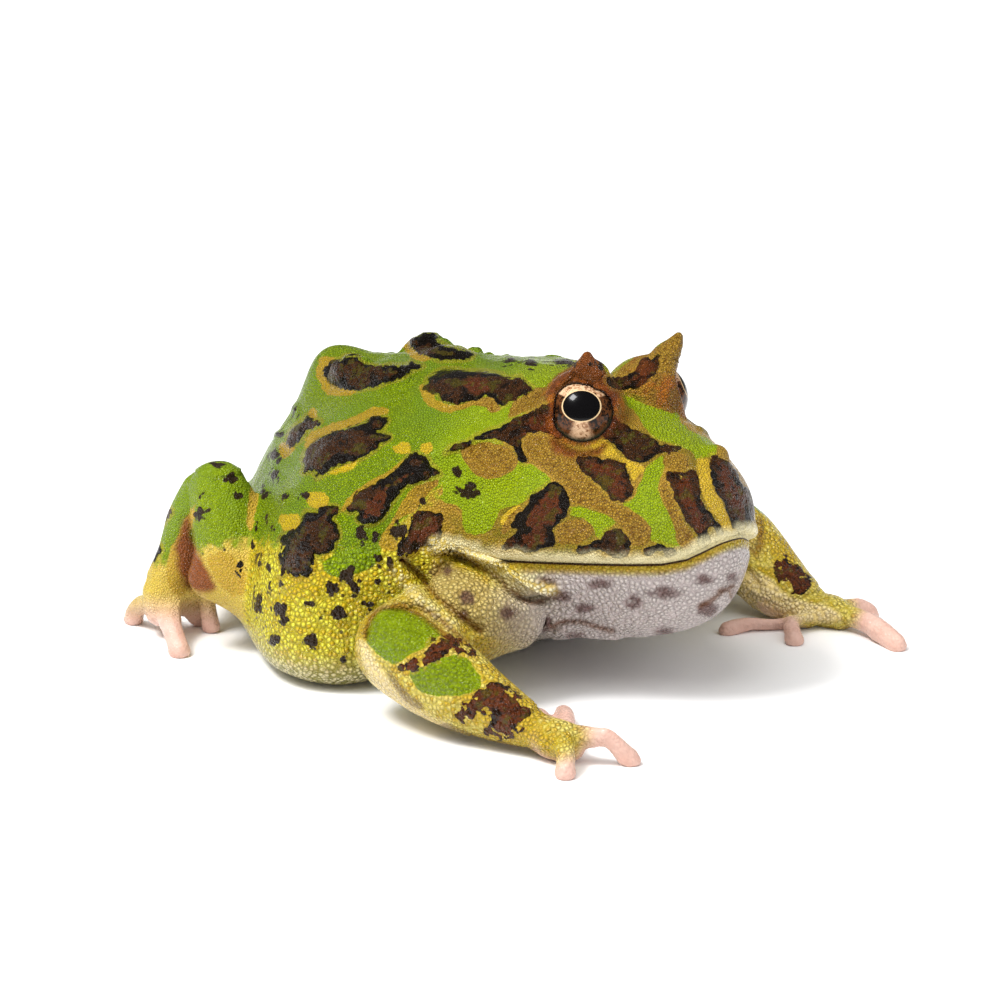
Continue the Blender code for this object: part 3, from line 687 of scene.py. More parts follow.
ARM_LEAF = [[(365, 637), (370, 622), (378, 612), (390, 608), (408, 609), (425, 618),
     (440, 632), (430, 645), (410, 656), (395, 664), (378, 655)],
    [(410, 670), (425, 666), (440, 658), (460, 655), (472, 665), (482, 682), (474, 692),
     (455, 696), (432, 696), (416, 688)]]
ARM_BROWN = [[(397, 668), (407, 660), (415, 655), (427, 651), (429, 643), (437, 636),
     (447, 634), (458, 636), (472, 646), (478, 656), (464, 654), (450, 657), (437, 660),
     (423, 668), (408, 672)],
    [(458, 703), (470, 700), (478, 690), (490, 682), (504, 684), (518, 694), (530, 708),
     (524, 728), (512, 738), (495, 740), (484, 732), (490, 722), (480, 712), (466, 724),
     (455, 715)]]
ARM_CREAM = [[(360, 640), (368, 648), (378, 664), (392, 684), (410, 702), (430, 716),
     (452, 728), (446, 736), (420, 728), (398, 714), (380, 697), (368, 674), (359, 652)]]
ARM_PURPLE = [[(383, 664), (388, 668), (400, 684), (414, 698), (424, 706), (420, 710),
     (406, 702), (393, 686)], [(440, 724), (456, 726), (480, 737), (510, 744), (540, 750),
     (520, 752), (490, 748), (460, 740), (442, 732)]]
LEG_GOLD = [[(198, 500), (186, 518), (173, 545), (166, 572), (172, 592), (186, 594),
     (182, 570), (184, 545), (192, 528)], [(206, 558), (216, 580), (234, 596), (246, 590),
     (244, 570), (232, 554), (216, 551)], [(257, 470), (250, 492), (247, 518), (251, 530),
     (257, 506), (263, 476)]]
# Painted reddish shade on the leg, where the shank meets the thigh.
LEG_RED_SHADE = [[(188, 516), (180, 530), (176, 552), (182, 580), (196, 592), (214, 588), (206, 566),
     (196, 548), (190, 532)]]
LID_RUST = [[(546, 394), (558, 376), (572, 366), (580, 352), (588, 346), (596, 354),
     (606, 374), (620, 396), (613, 410), (604, 396), (590, 386), (570, 385), (556, 393)],
    [(550, 432), (562, 446), (578, 452), (594, 450), (604, 443), (600, 456), (585, 461),
     (566, 457), (552, 447)]]
JOWL = [[(428, 566), (446, 562), (468, 572), (492, 586), (520, 594), (548, 606), (556, 626),
     (536, 640), (504, 640), (476, 630), (452, 612), (434, 592)]]
JOWL_SPOTS = [(443, 452, 564, 577), (459, 474, 590, 606), (458, 468, 610, 621),
    (498, 517, 607, 619)]
FAR_ARM_BROWN = [[(774, 566), (782, 556), (792, 560), (806, 573), (813, 580), (806, 594), (795, 596),
     (787, 588), (776, 578)]]
FAR_ARM_CREAM = [[(738, 596), (748, 572), (768, 578), (790, 598), (815, 604), (838, 612),
     (836, 622), (800, 622), (770, 616), (740, 618)]]
LEG_SPOTS = [
    (225, 237, 474, 484), (200, 210, 492, 498), (233, 241, 491, 500), (193, 205, 507, 519),
    (213, 219, 507, 515), (212, 222, 462, 468), (203, 209, 551, 558), (222, 230, 548, 554),
]
LEG_BROWN = [[(160, 527), (157, 518), (166, 508), (172, 512), (164, 522)],
    [(146, 560), (148, 550), (155, 544), (162, 548), (156, 558), (150, 566)],
    [(236, 565), (240, 558), (246, 566), (242, 580), (237, 576)]]
GREEN_ABOVE = [(120, 575), (205, 552), (250, 540), (300, 552), (340, 560), (380, 545),
    (440, 490), (500, 450), (545, 395), (562, 376), (620, 372), (800, 372)]
print(len(BROWN) + len(TAN) + len(GOLD) + len(LEAF) + len(RUST), "outlines and",
      len(SPOTS) + len(CHIN_SPOTS) + len(LEG_SPOTS), "spots")

# %% [markdown]
# Warty patches stand a little proud of the skin, and the digits and soles stay as they are. The
# net is then thinned where it is flat, so that it stays light. What part of the body each point
# belongs to is read from the nearest solid, because an arm hides part of the flank.

# %% Tools for markings
PIXELS_PER_MM = FOCAL_PIXELS / VIEW_DISTANCE
FAR = -4.0


def inside(pixels, outline):
    """Which pixels lie inside a closed outline."""
    within = np.zeros(len(pixels), bool)
    x, y = pixels[:, 0], pixels[:, 1]
    for (x1, y1), (x2, y2) in zip(outline, np.roll(outline, -1, axis=0)):
        if y1 != y2:
            crosses = (y1 > y) != (y2 > y)
            within ^= crosses & (x < (x2 - x1) * (y - y1) / (y2 - y1) + x1)
    return within


def outline_field(pixels, outlines):
    """Millimetres inside the nearest of some outlines, below zero outside."""
    field = np.full(len(pixels), FAR)
    reach = -FAR * PIXELS_PER_MM
    for outline in outlines:
        curve = rounded(outline, closed=True, steps=4)
        low, high = curve.min(0) - reach, curve.max(0) + reach
        near = np.where(((pixels > low) & (pixels < high)).all(1))[0]
        if len(near) == 0:
            continue
        gap = distance_to(pixels[near], curve, closed=True) / PIXELS_PER_MM
        gap = np.where(inside(pixels[near], curve), gap, -gap)
        field[near] = np.maximum(field[near], gap)
    return field


def spot_field(pixels, spots):
    """The same for round spots, each given by its left, right, top and bottom."""
    field = np.full(len(pixels), FAR)
    for left, right, top, bottom in spots:
        half = np.array(((right - left) / 2, (bottom - top) / 2))
        offset = (pixels - ((left + right) / 2, (top + bottom) / 2)) / half
        gap = (1 - np.linalg.norm(offset, axis=1)) * half.min() / PIXELS_PER_MM
        field = np.maximum(field, gap)
    return field


def melted(points, normals, read):
    """Reads a field by the camera's own pixels, and by mirror pixels on the hidden left side."""
    facing = normals @ TO_CAMERA
    left_by = -(MIDDLE_X - points[:, 0])
    hidden = (1 - smooth_step(facing, -0.28, 0.08)) * smooth_step(left_by, 0.0, 4.0)
    shown = read(pixels_of(points))
    twin = read(pixels_of(mirror(points)))
    return shown * (1 - hidden) + twin * hidden


def part_shares(points):
    """How much each point belongs to the body, the arms and the legs."""
    gaps = part_gaps(points)
    shares = {}
    for part, gap in gaps.items():
        others = np.min([value for name, value in gaps.items() if name != part], axis=0)
        shares[part] = np.clip((others - gap) / 1.6 + 0.5, 0, 1)
    return shares


def keep_attribute(obj, name, values):
    attribute = obj.data.attributes.new(name, "FLOAT", "POINT")
    attribute.data.foreach_set("value", np.asarray(values, np.float32))


print(f"one millimetre is {PIXELS_PER_MM:.2f} pixels")

# %% Raise the warty patches and thin the net
PATCH_RISE, SPOT_RISE = 0.55, 0.35
points, normals = places_of(skin), normals_of(skin)
patches = melted(points, normals, lambda at: outline_field(at, BROWN.values()))
dots = melted(points, normals, lambda at: spot_field(at, SPOTS))
on_back = smooth_step(points[:, 2], 3.0, 8.0) * smooth_step(points[:, 1] - MIDDLE_Y, 30, 42)
raised = (PATCH_RISE * smooth_step(patches, -0.7, 0.8)
          + SPOT_RISE * smooth_step(dots, -0.6, 0.5))
move_to(skin, points + normals * (raised * on_back)[:, None])
MOST_TRIANGLES = 190000
triangles = sum(len(face.vertices) - 2 for face in skin.data.polygons)
apply_modifier(skin, "DECIMATE", ratio=MOST_TRIANGLES / triangles)
points = places_of(skin)
points[:, 2] = np.maximum(points[:, 2], 0.0)
move_to(skin, points)
for face in skin.data.polygons:
    face.use_smooth = True
print("the skin has", len(skin.data.polygons), "triangles")

# %% Write the markings on the skin
points, normals = places_of(skin), normals_of(skin)
shares = part_shares(points)
body = shares["body"]
own_pixels, twin_pixels = pixels_of(points), pixels_of(mirror(points))


def on_body(read):
    return np.minimum(melted(points, normals, read), FAR + (body * 2) * -FAR)


def on_limb(part, field):
    return np.minimum(field, FAR + (shares[part] * 2) * -FAR)


Z_WAY = np.array((0.0, 0.0, 1.0))
brown = np.max([
    on_body(lambda at: outline_field(at, BROWN.values())),
    on_limb("arm_R", outline_field(own_pixels, ARM_BROWN)),
    on_limb("arm_L", outline_field(own_pixels, FAR_ARM_BROWN)),
    on_limb("leg_R", outline_field(own_pixels, LEG_BROWN)),
    on_limb("leg_L", outline_field(twin_pixels, LEG_BROWN)),
], axis=0)
keep_attribute(skin, "brown", brown)
keep_attribute(skin, "tan", on_body(lambda at: outline_field(at, TAN.values())))
gold = np.max([
    on_body(lambda at: outline_field(at, GOLD.values())),
    on_limb("leg_R", outline_field(own_pixels, LEG_GOLD)),
    on_limb("leg_L", outline_field(twin_pixels, LEG_GOLD)),
], axis=0)
keep_attribute(skin, "gold", gold)
# The leg outlines give painted reddish shade; the lid outlines give the lids' own rusty colour.
ruddy_and_shade = np.max([
    on_limb("leg_R", outline_field(own_pixels, LEG_RED_SHADE)),
    on_limb("leg_L", outline_field(twin_pixels, LEG_RED_SHADE)),
    on_body(lambda at: outline_field(at, LID_RUST)),
], axis=0)
keep_attribute(skin, "ruddy_and_shade", ruddy_and_shade)
leaf = np.max([
    on_body(lambda at: outline_field(at, LEAF.values())),
    on_limb("arm_R", outline_field(own_pixels, ARM_LEAF)),
    on_limb("arm_L", (normals @ (Z_WAY - TO_CAMERA * 0.7) - 0.6) * 5
            - 9 * near_box(points, "hand_L", 1.0)),
], axis=0)
keep_attribute(skin, "leaf", leaf)
limb_cream = np.maximum(on_limb("arm_R", outline_field(own_pixels, ARM_CREAM)),
                        on_limb("arm_L", outline_field(own_pixels, FAR_ARM_CREAM)))
keep_attribute(skin, "limb_cream", limb_cream)
keep_attribute(skin, "jowl", melted(points, normals, lambda at: outline_field(at, JOWL)))
keep_attribute(skin, "limb_purple", on_limb("arm_R", outline_field(own_pixels, ARM_PURPLE)))
rust = np.max([
    on_body(lambda at: outline_field(at, RUST.values())),
    on_limb("arm_R", outline_field(own_pixels, ARM_BROWN) - 0.15),
    on_limb("arm_L", outline_field(own_pixels, FAR_ARM_BROWN) - 0.15),
], axis=0)
keep_attribute(skin, "rust", rust)
spots = np.max([
    on_body(lambda at: spot_field(at, SPOTS)),
    on_limb("leg_R", spot_field(own_pixels, LEG_SPOTS)),
    on_limb("leg_L", spot_field(twin_pixels, LEG_SPOTS)),
], axis=0)
keep_attribute(skin, "spots", spots)
chin_spots = np.maximum(on_body(lambda at: spot_field(at, CHIN_SPOTS)),
                        melted(points, normals, lambda at: spot_field(at, JOWL_SPOTS)))
keep_attribute(skin, "chin_spots", chin_spots)
print(int((brown > 0).sum()), "points of the skin lie in brown patches")

# %% [markdown]
# Next come the soft areas, which melt into each other on the real frog: the green back above a
# line in the picture, the head, the pale belly that faces the floor, and the white chin. The chin
# ends where the forearms begin, so that none of it spills onto them.

# %% Write the soft areas
CHIN_FROM_X, CHIN_TO_X = 475, 570
HEAD_ENDS = (36.0, 44.0)
CHIN_ENDS = (46.0, 60.0)
high, there = above_mouth(points)
keep_attribute(skin, "above_mouth", high)
keep_attribute(skin, "mouth", there * body)


def green_share(at):
    line = np.interp(at[:, 0], *zip(*GREEN_ABOVE))
    return (line - at[:, 1]) / PIXELS_PER_MM


back = points[:, 1] - MIDDLE_Y
keep_attribute(skin, "green_above", melted(points, normals, green_share))
head = (1 - smooth_step(back, *HEAD_ENDS)) * smooth_step(high, -0.6, 0.2)
keep_attribute(skin, "head", head * body)
belly = np.maximum(smooth_step(-points[:, 2], -7.0, -2.0), smooth_step(-normals[:, 2], 0.35, 0.9))
keep_attribute(skin, "belly", belly * body)


def chin_share(at):
    return smooth_step(at[:, 0], CHIN_FROM_X, CHIN_TO_X)


chin = (1 - smooth_step(high, -2.0, -0.5)) * (1 - smooth_step(back, *CHIN_ENDS))
far_arm = shares["arm_L"] > 0.5
chin_there = np.where(far_arm, chin_share(twin_pixels), melted(points, normals, chin_share))
forearms = gap_to(points, ("forearm_R", "hand_R", "forearm_L", "hand_L"), chin_there > 0)
chin = chin * chin_there * smooth_step(forearms, 0.5, 4.0)
keep_attribute(skin, "chin", chin)
keep_attribute(skin, "sleek", np.maximum(shares["leg_R"], shares["leg_L"]))
keep_attribute(skin, "arms", np.maximum(shares["arm_R"], shares["arm_L"]))
from_eye = [np.linalg.norm(points - eye, axis=1) for eye in eyes]
keep_attribute(skin, "from_eye", np.min(from_eye, axis=0))
print(int((chin > 0.5).sum()), "points of the skin belong to the chin")

# %% [markdown]
# The tips of the digits are bare and pink. On a hand the pink starts a few millimetres from the
# middle of the palm and stays off the forearm. On a foot it starts at a height in the picture.

# %% Write the pink digits
PALM_PIXELS = {"_R": (556, 735), "_L": (826, 602)}
PINK_FROM = {"_R": 2.6, "_L": 4.0}
PINK_FADE = 3.4
TOES_FROM_Y, TOES_TO_Y = 588, 626

digits = np.zeros(len(points))
for side, (palm_x, palm_y) in PALM_PIXELS.items():
    palm = cast(surface_of(skin), [(palm_x, palm_y), (palm_x + 1, palm_y)])[0]
    close = (shares["arm" + side] > 0.4) & near_box(points, "hand" + side, 2.0)
    own_gap, arm_gap = (gap_to(points, (name + side,), close) for name in ("hand", "forearm"))
    from_palm = np.linalg.norm(points - palm, axis=1)
    tip = smooth_step(from_palm, PINK_FROM[side], PINK_FROM[side] + PINK_FADE)
    tip *= smooth_step(arm_gap, 1.5, 3.5)
    digits = np.where(close & (own_gap < arm_gap), tip, digits)
for name, at in (("foot_R", own_pixels), ("foot_L", twin_pixels)):
    toes = near_box(points, name, 1.0) * (shares["leg" + name[-2:]] > 0.4)
    digits = np.maximum(digits, toes * smooth_step(at[:, 1], TOES_FROM_Y, TOES_TO_Y))
keep_attribute(skin, "digits", digits)
print(int((digits > 0.5).sum()), "points of the skin are pink")

# %% [markdown]
# A crease is painted darker, partly as painted shade and partly as brown pigment, and the
# stretched skin of two ridges and the large warts behind the mouth are paler. Creases are
# measured in the picture, because the pushed skin no longer lies where the fold's line was cast.

# %% Write the folds
CREASE_WIDTH, PALE_WIDTH = 0.42, 0.9


def near_folds(folds, width):
    """How near points lie to some folds: one on the fold, nought beyond its width."""
    share = np.zeros(len(points))
    for line, path in folds:
        for there, at in ((line, own_pixels), (mirror(line), twin_pixels)):
            close = np.where(distance_to(points, there) < 4.0)[0]
            gap = distance_to(at[close], path) / PIXELS_PER_MM
            share[close] = np.maximum(share[close], np.exp(-(gap / width) ** 2))
    return share


# Painted shade, with some brown pigment, follows the creases.
keep_attribute(skin, "crease", near_folds(CREASES, CREASE_WIDTH))
pale_fold = near_folds(PALE_FOLDS, PALE_WIDTH)
for x, y, radius in PALE_WARTS:
    gap = np.linalg.norm(own_pixels - (x, y), axis=1) / radius
    pale_fold = np.maximum(pale_fold, np.exp(-gap**4) * (normals @ TO_CAMERA > 0))
keep_attribute(skin, "pale_fold", pale_fold)
print("attributes:", ", ".join(sorted(a.name for a in skin.data.attributes if a.name[0] != ".")))

# %% [markdown]
# Materials are built from nodes. A few small helpers keep that short: some for arithmetic, one for
# a soft step, two for mixing colours and values, and one that turns paint colours into Blender's
# numbers.

# %% Helpers for materials
def paint(red, green, blue):
    """A colour as read off a paint chart, from 0 to 255."""
    parts = [part / 255 for part in (red, green, blue)]
    parts = [p / 12.92 if p <= 0.04045 else ((p + 0.055) / 1.055) ** 2.4 for p in parts]
    return (*parts, 1.0)


def feed(tree, socket, value):
    if isinstance(value, bpy.types.NodeSocket):
        tree.links.new(value, socket)
    else:
        socket.default_value = value


def math_of(tree, operation, first, second=0.0, third=0.0):
    node = tree.nodes.new("ShaderNodeMath")
    node.operation = operation
    for socket, value in zip(node.inputs, (first, second, third)):
        feed(tree, socket, value)
    return node.outputs[0]


def plus(tree, first, second):
    return math_of(tree, "ADD", first, second)


def times(tree, first, second):
    return math_of(tree, "MULTIPLY", first, second)


def times_plus(tree, first, factor, extra):
    return math_of(tree, "MULTIPLY_ADD", first, factor, extra)


def larger(tree, first, second):
    return math_of(tree, "MAXIMUM", first, second)


def rest_of(tree, share):
    return math_of(tree, "SUBTRACT", 1.0, share)


def step_of(tree, value, start, end, low=0.0, high=1.0):
    node = tree.nodes.new("ShaderNodeMapRange")
    node.interpolation_type = "SMOOTHSTEP"
    for socket, given in zip(node.inputs, (value, start, end, low, high)):
        feed(tree, socket, given)
    return node.outputs[0]


def mix_of(tree, share, low, high):
    node = tree.nodes.new("ShaderNodeMix")
    node.data_type = "RGBA"
    feed(tree, node.inputs[0], share)
    feed(tree, node.inputs[6], low)
    feed(tree, node.inputs[7], high)
    return node.outputs[2]


def mix_value(tree, share, low, high):
    node = tree.nodes.new("ShaderNodeMix")
    feed(tree, node.inputs[0], share)
    feed(tree, node.inputs[2], low)
    feed(tree, node.inputs[3], high)
    return node.outputs[0]


def noise_of(tree, place, scale, detail=2.0, rough=0.5, twist=0.0):
    node = tree.nodes.new("ShaderNodeTexNoise")
    feed(tree, node.inputs["Vector"], place)
    node.inputs["Scale"].default_value = scale
    node.inputs["Detail"].default_value = detail
    node.inputs["Roughness"].default_value = rough
    node.inputs["Distortion"].default_value = twist
    return node.outputs["Fac"]


def grain_of(tree, place, scale, feature="F1"):
    node = tree.nodes.new("ShaderNodeTexVoronoi")
    node.feature = feature
    feed(tree, node.inputs["Vector"], place)
    node.inputs["Scale"].default_value = scale
    return node


def field_of(tree, name):
    node = tree.nodes.new("ShaderNodeAttribute")
    node.attribute_name = name
    return node.outputs["Fac"]


def new_material(name):
    material = bpy.data.materials.new(name)
    material.use_nodes = True
    tree = material.node_tree
    shader = next(node for node in tree.nodes if node.type == "BSDF_PRINCIPLED")
    return material, tree, shader


def object_place(tree):
    return tree.nodes.new("ShaderNodeTexCoord").outputs["Object"]


print("paint white is", paint(255, 255, 255))

# %% [markdown]
# The skin is covered in round grains, about 0.7 mm across on the flanks and the chin and finer on
# the head, the back and the legs, with larger knobs on the warts. All three sizes come from one
# node group. It gives the height of the grains, a mask for painted shade in the gaps between them
# and at the rim of each grain, a shade of colour that differs from grain to grain, and a knob that
# stands highest in the middle of each grain.

# %% A node group for skin grains
def build_grain_group():
    group = bpy.data.node_groups.new("skin grains", "ShaderNodeTree")
    face = group.interface
    face.new_socket(name="Place", in_out="INPUT", socket_type="NodeSocketVector")
    face.new_socket(name="Grains per metre", in_out="INPUT", socket_type="NodeSocketFloat")
    for name in ("Height", "Gap shade", "Shade", "Knob"):
        face.new_socket(name=name, in_out="OUTPUT", socket_type="NodeSocketFloat")
    entry = group.nodes.new("NodeGroupInput")
    leave = group.nodes.new("NodeGroupOutput")
    cells = grain_of(group, entry.outputs["Place"], 1000.0)
    edges = grain_of(group, entry.outputs["Place"], 1000.0, "DISTANCE_TO_EDGE")
    for each in (cells, edges):
        group.links.new(entry.outputs["Grains per metre"], each.inputs["Scale"])
    bulge = step_of(group, edges.outputs["Distance"], 0.0, 0.2)
    crown = step_of(group, cells.outputs["Distance"], 0.75, 0.05)
    height = times_plus(group, bulge, 0.35, crown)
    fine = noise_of(group, entry.outputs["Place"], scale=3600.0, detail=2.0)
    height_and_fine = times_plus(group, fine, 0.25, height)
    # Painted shade: this mask darkens the rim of each grain and the gaps between the grains.
    gap = step_of(group, cells.outputs["Distance"], 0.34, 0.7)
    gap = larger(group, gap, step_of(group, edges.outputs["Distance"], 0.1, 0.0, 0, 0.5))
    knob = math_of(group, "SUBTRACT", 0.45, cells.outputs["Distance"])
    shade = group.nodes.new("ShaderNodeSeparateColor")
    group.links.new(cells.outputs["Color"], shade.inputs[0])
    group.links.new(height_and_fine, leave.inputs["Height"])
    group.links.new(gap, leave.inputs["Gap shade"])
    group.links.new(shade.outputs[0], leave.inputs["Shade"])
    group.links.new(knob, leave.inputs["Knob"])
    return group


GRAIN_GROUP = build_grain_group()


def add_grains(tree, place, per_metre):
    node = tree.nodes.new("ShaderNodeGroup")
    node.node_tree = GRAIN_GROUP
    tree.links.new(place, node.inputs["Place"])
    node.inputs["Grains per metre"].default_value = per_metre
    return node.outputs


print("the grain group has", len(GRAIN_GROUP.nodes), "nodes")

# %% [markdown]
# Skin colour is laid on in coats, as a model painter would: the ground first, green on the back
# and yellow on the flanks, then green patches, gold, tan, brown with nearly black edges, and the
# small dark spots. Each edge is broken up by the grains, so no outline looks cut out. The paints
# are named here once, and the cells below lay them on.

# %% Paints for the skin
LEAF_GREEN = paint(120, 144, 4)
LIGHT_GREEN = paint(148, 172, 12)
MOSS = paint(74, 92, 4)
YELLOW = paint(230, 220, 66)
GOLDEN = paint(208, 176, 34)
OLIVE = paint(152, 138, 14)
TAN_PAINT = paint(184, 146, 52)
TAN_DARK = paint(118, 82, 22)
NEAR_BLACK = paint(20, 13, 8)
BROWN_PAINT = paint(70, 40, 16)
RUST_PAINT = paint(80, 38, 16)
CREAM = paint(232, 220, 172)
BELLY_GAP_SHADE = paint(140, 134, 70)
CHIN_WHITE = paint(212, 201, 196)
CHIN_GAP_SHADE = paint(156, 140, 140)
PURPLE_BROWN = paint(92, 58, 54)
PINK = paint(228, 196, 182)
PINK_DARK = paint(200, 150, 132)
LIP_GOLD = paint(178, 136, 36)
SLIT_SHADOW = paint(58, 34, 16)
FRESH_GREEN = paint(128, 158, 24)
HEAD_GREEN = paint(176, 192, 20)
WET_GREEN = paint(96, 104, 8)
LEG_YELLOW = paint(208, 176, 84)
ARM_OCHRE = paint(196, 160, 52)
ARM_STRAW = paint(226, 202, 118)
CHEEK_OLIVE = paint(136, 122, 30)
JOWL_PALE = paint(204, 182, 116)
JOWL_GAP_SHADE = paint(108, 80, 38)
JOWL_BLOTCH = paint(116, 78, 58)
LIMB_CREAM = paint(244, 222, 166)
SNOUT_GOLD = paint(222, 182, 50)
LEG_GOLD_PAINT = paint(192, 154, 54)
RUDDY_TONE_AND_SHADE = paint(130, 70, 26)
CORE_DARK = paint(40, 24, 12)
RUST_LIGHT = paint(100, 50, 24)
MOSSY_BROWN = paint(78, 74, 10)
SPOT_BROWN = paint(58, 40, 22)
SPECK_BROWN = paint(50, 34, 18)
LID_ORANGE = paint(164, 86, 30)
LID_BROWN = paint(100, 46, 18)
LID_EDGE_SHADE = paint(30, 18, 14)
LIP_CREAM = paint(234, 223, 176)
CREASE_SHADE_BROWN = paint(112, 66, 24)
print("paints for the skin, such as leaf green:", [round(part, 3) for part in LEAF_GREEN[:3]])

# %% [markdown]
# Every coat needs the same few things: grains at three sizes, noises from broad to fine, and the
# areas where the grain is small. One function cuts the kept distances into sharp shapes.

# %% The grain under every coat
COARSE_GRAINS, FINE_GRAINS, WART_GRAINS = 1450.0, 2600.0, 900.0

material, tree, shader = new_material("painted frog skin")
place = object_place(tree)
coarse = add_grains(tree, place, COARSE_GRAINS)
fine = add_grains(tree, place, FINE_GRAINS)
chin = field_of(tree, "chin")
belly = field_of(tree, "belly")
head = field_of(tree, "head")
digits = field_of(tree, "digits")
broad = noise_of(tree, place, scale=90.0, detail=3.0)
patchy = noise_of(tree, place, scale=450.0, detail=3.0, rough=0.6)
speckle = noise_of(tree, place, scale=2200.0, detail=2.0, rough=0.6)
lively = noise_of(tree, place, scale=170.0, detail=2.0)
warts = add_grains(tree, place, WART_GRAINS)
wave = times_plus(tree, patchy, 1.4, -0.7)


def cut(name, soft=0.1, wander=1.0, knobs=0.5, field=None):
    """Cuts a field at its outline, moved by a slow wave and by the grains' round knobs."""
    moved = times_plus(tree, wave, wander, field or field_of(tree, name))
    moved = times_plus(tree, warts["Knob"], knobs, moved)
    return step_of(tree, moved, -soft, soft)


def tell_nodes():
    print("the skin's material has", len(tree.nodes), "nodes so far")


upper = cut("green_above", soft=1.2, wander=4.0, knobs=2.0)
sleek = field_of(tree, "sleek")
arms = field_of(tree, "arms")
wet = times(tree, arms, cut("leaf", soft=0.12, wander=0.6, knobs=0.3))
small = larger(tree, sleek, larger(tree, head, upper))
small = larger(tree, small, wet)
small = times(tree, small, rest_of(tree, chin))
# The gap mask carries painted shade between the grains, weaker on the legs and the arms.
gap = mix_value(tree, small, coarse["Gap shade"], fine["Gap shade"])
gap = times(tree, gap, times_plus(tree, sleek, -0.6, 1.0))
gap = times(tree, gap, times_plus(tree, arms, -0.35, 1.0))
shade = mix_value(tree, small, coarse["Shade"], fine["Shade"])
tell_nodes()

# %% [markdown]
# The grounds come first. Green has lighter and darker grains, is brighter on the head and darker
# on the wet limbs. Yellow turns to straw on the arms, and every ground gets painted shade in the
# gaps between its grains.

# %% The grounds of green, yellow and tan
green = mix_of(tree, step_of(tree, shade, 0.1, 1.0), LEAF_GREEN, LIGHT_GREEN)
green = mix_of(tree, step_of(tree, broad, 0.42, 0.62), green, FRESH_GREEN)
# Painted shade: moss green in the gaps between the green grains.
green = mix_of(tree, times(tree, gap, 0.6), green, MOSS)
green = mix_of(tree, times(tree, head, 0.4), green, HEAD_GREEN)
damp = larger(tree, times(tree, sleek, 0.3), times(tree, wet, 0.45))
green = mix_of(tree, damp, green, WET_GREEN)
pale_place = times_plus(tree, shade, 0.3, plus(tree, broad, -0.15))
yellow = mix_of(tree, step_of(tree, pale_place, 0.36, 0.6), GOLDEN, YELLOW)
yellow = mix_of(tree, times(tree, sleek, 0.8), yellow, LEG_YELLOW)
straw = mix_of(tree, step_of(tree, pale_place, 0.4, 0.6), ARM_OCHRE, ARM_STRAW)
yellow = mix_of(tree, times(tree, arms, 0.7), yellow, straw)
# Painted shade: olive in the gaps between the yellow grains.
yellow = mix_of(tree, times(tree, gap, 0.8), yellow, OLIVE)
tan = mix_of(tree, step_of(tree, speckle, 0.3, 0.62), TAN_DARK, TAN_PAINT)
# Painted shade: dark tan in the gaps between the tan grains.
tan = mix_of(tree, times(tree, gap, 0.65), tan, TAN_DARK)
colour = mix_of(tree, upper, yellow, green)
ground = mix_of(tree, step_of(tree, broad, 0.4, 0.6), CHEEK_OLIVE, TAN_PAINT)
# Painted shade: dark tan in the gaps between the grains of the head's ground.
ground = mix_of(tree, times(tree, gap, 0.4), ground, TAN_DARK)
low_head = times(tree, head, rest_of(tree, upper))
colour = mix_of(tree, low_head, colour, ground)
tell_nodes()

# %% [markdown]
# Below, the skin pales to cream and white with painted shade in the gaps between the grains, and
# the jowl behind the mouth has brown blotches. The undersides of the arms are cream with a purple
# line.

# %% Belly, jowl, chin and undersides
# Painted shade in the gaps between the belly's grains.
pale = mix_of(tree, gap, CREAM, BELLY_GAP_SHADE)
colour = mix_of(tree, belly, colour, pale)
jowl = times(tree, cut("jowl", soft=0.9, wander=1.2, knobs=0.0), 0.75)
# Painted shade in the gaps between the jowl's grains.
jowl_colour = mix_of(tree, gap, JOWL_PALE, JOWL_GAP_SHADE)
blotch = times(tree, step_of(tree, lively, 0.5, 0.58), 0.6)
jowl_colour = mix_of(tree, blotch, jowl_colour, JOWL_BLOTCH)
colour = mix_of(tree, jowl, colour, jowl_colour)
# Painted shade in the gaps between the chin's grains.
chin_colour = mix_of(tree, times(tree, gap, 0.55), CHIN_WHITE, CHIN_GAP_SHADE)
colour = mix_of(tree, chin, colour, chin_colour)
# Painted shade: golden in the gaps between the grains of the arms' cream.
limb_cream = mix_of(tree, times(tree, gap, 0.6), LIMB_CREAM, GOLDEN)
colour = mix_of(tree, cut("limb_cream", soft=0.6, wander=0.8, knobs=0.0), colour, limb_cream)
purple = times(tree, cut("limb_purple", soft=0.3, wander=0.6, knobs=0.0), 0.6)
colour = mix_of(tree, purple, colour, PURPLE_BROWN)
tell_nodes()

# %% [markdown]
# Patches lie over the grounds: leaf green on the flank and the arms, gold stripes on the snout,
# tan borders round the dark patches, a rusty red tone on the lids, and painted reddish shade on
# the inner legs, where the shank meets the thigh.

# %% Patches of green, gold and tan
colour = mix_of(tree, cut("leaf", soft=0.12, wander=0.6, knobs=0.3), colour, green)
gold = mix_of(tree, sleek, mix_of(tree, head, GOLDEN, SNOUT_GOLD), LEG_GOLD_PAINT)
# Painted shade: olive in the gaps between the gold grains.
gold = mix_of(tree, times(tree, fine["Gap shade"], 0.4), gold, OLIVE)
colour = mix_of(tree, cut("gold", soft=0.15, wander=0.6, knobs=0.4), colour, gold)
tan = mix_of(tree, math_of(tree, "SUBTRACT", 0.5, times(tree, head, 0.5)), tan, gold)
colour = mix_of(tree, cut("tan", soft=0.12, wander=0.5, knobs=0.3), colour, tan)
# A rusty tone on the lids, and painted reddish shade on the inner legs.
colour = mix_of(tree, cut("ruddy_and_shade", soft=0.7, wander=1.0, knobs=0.0), colour, RUDDY_TONE_AND_SHADE)
tell_nodes()

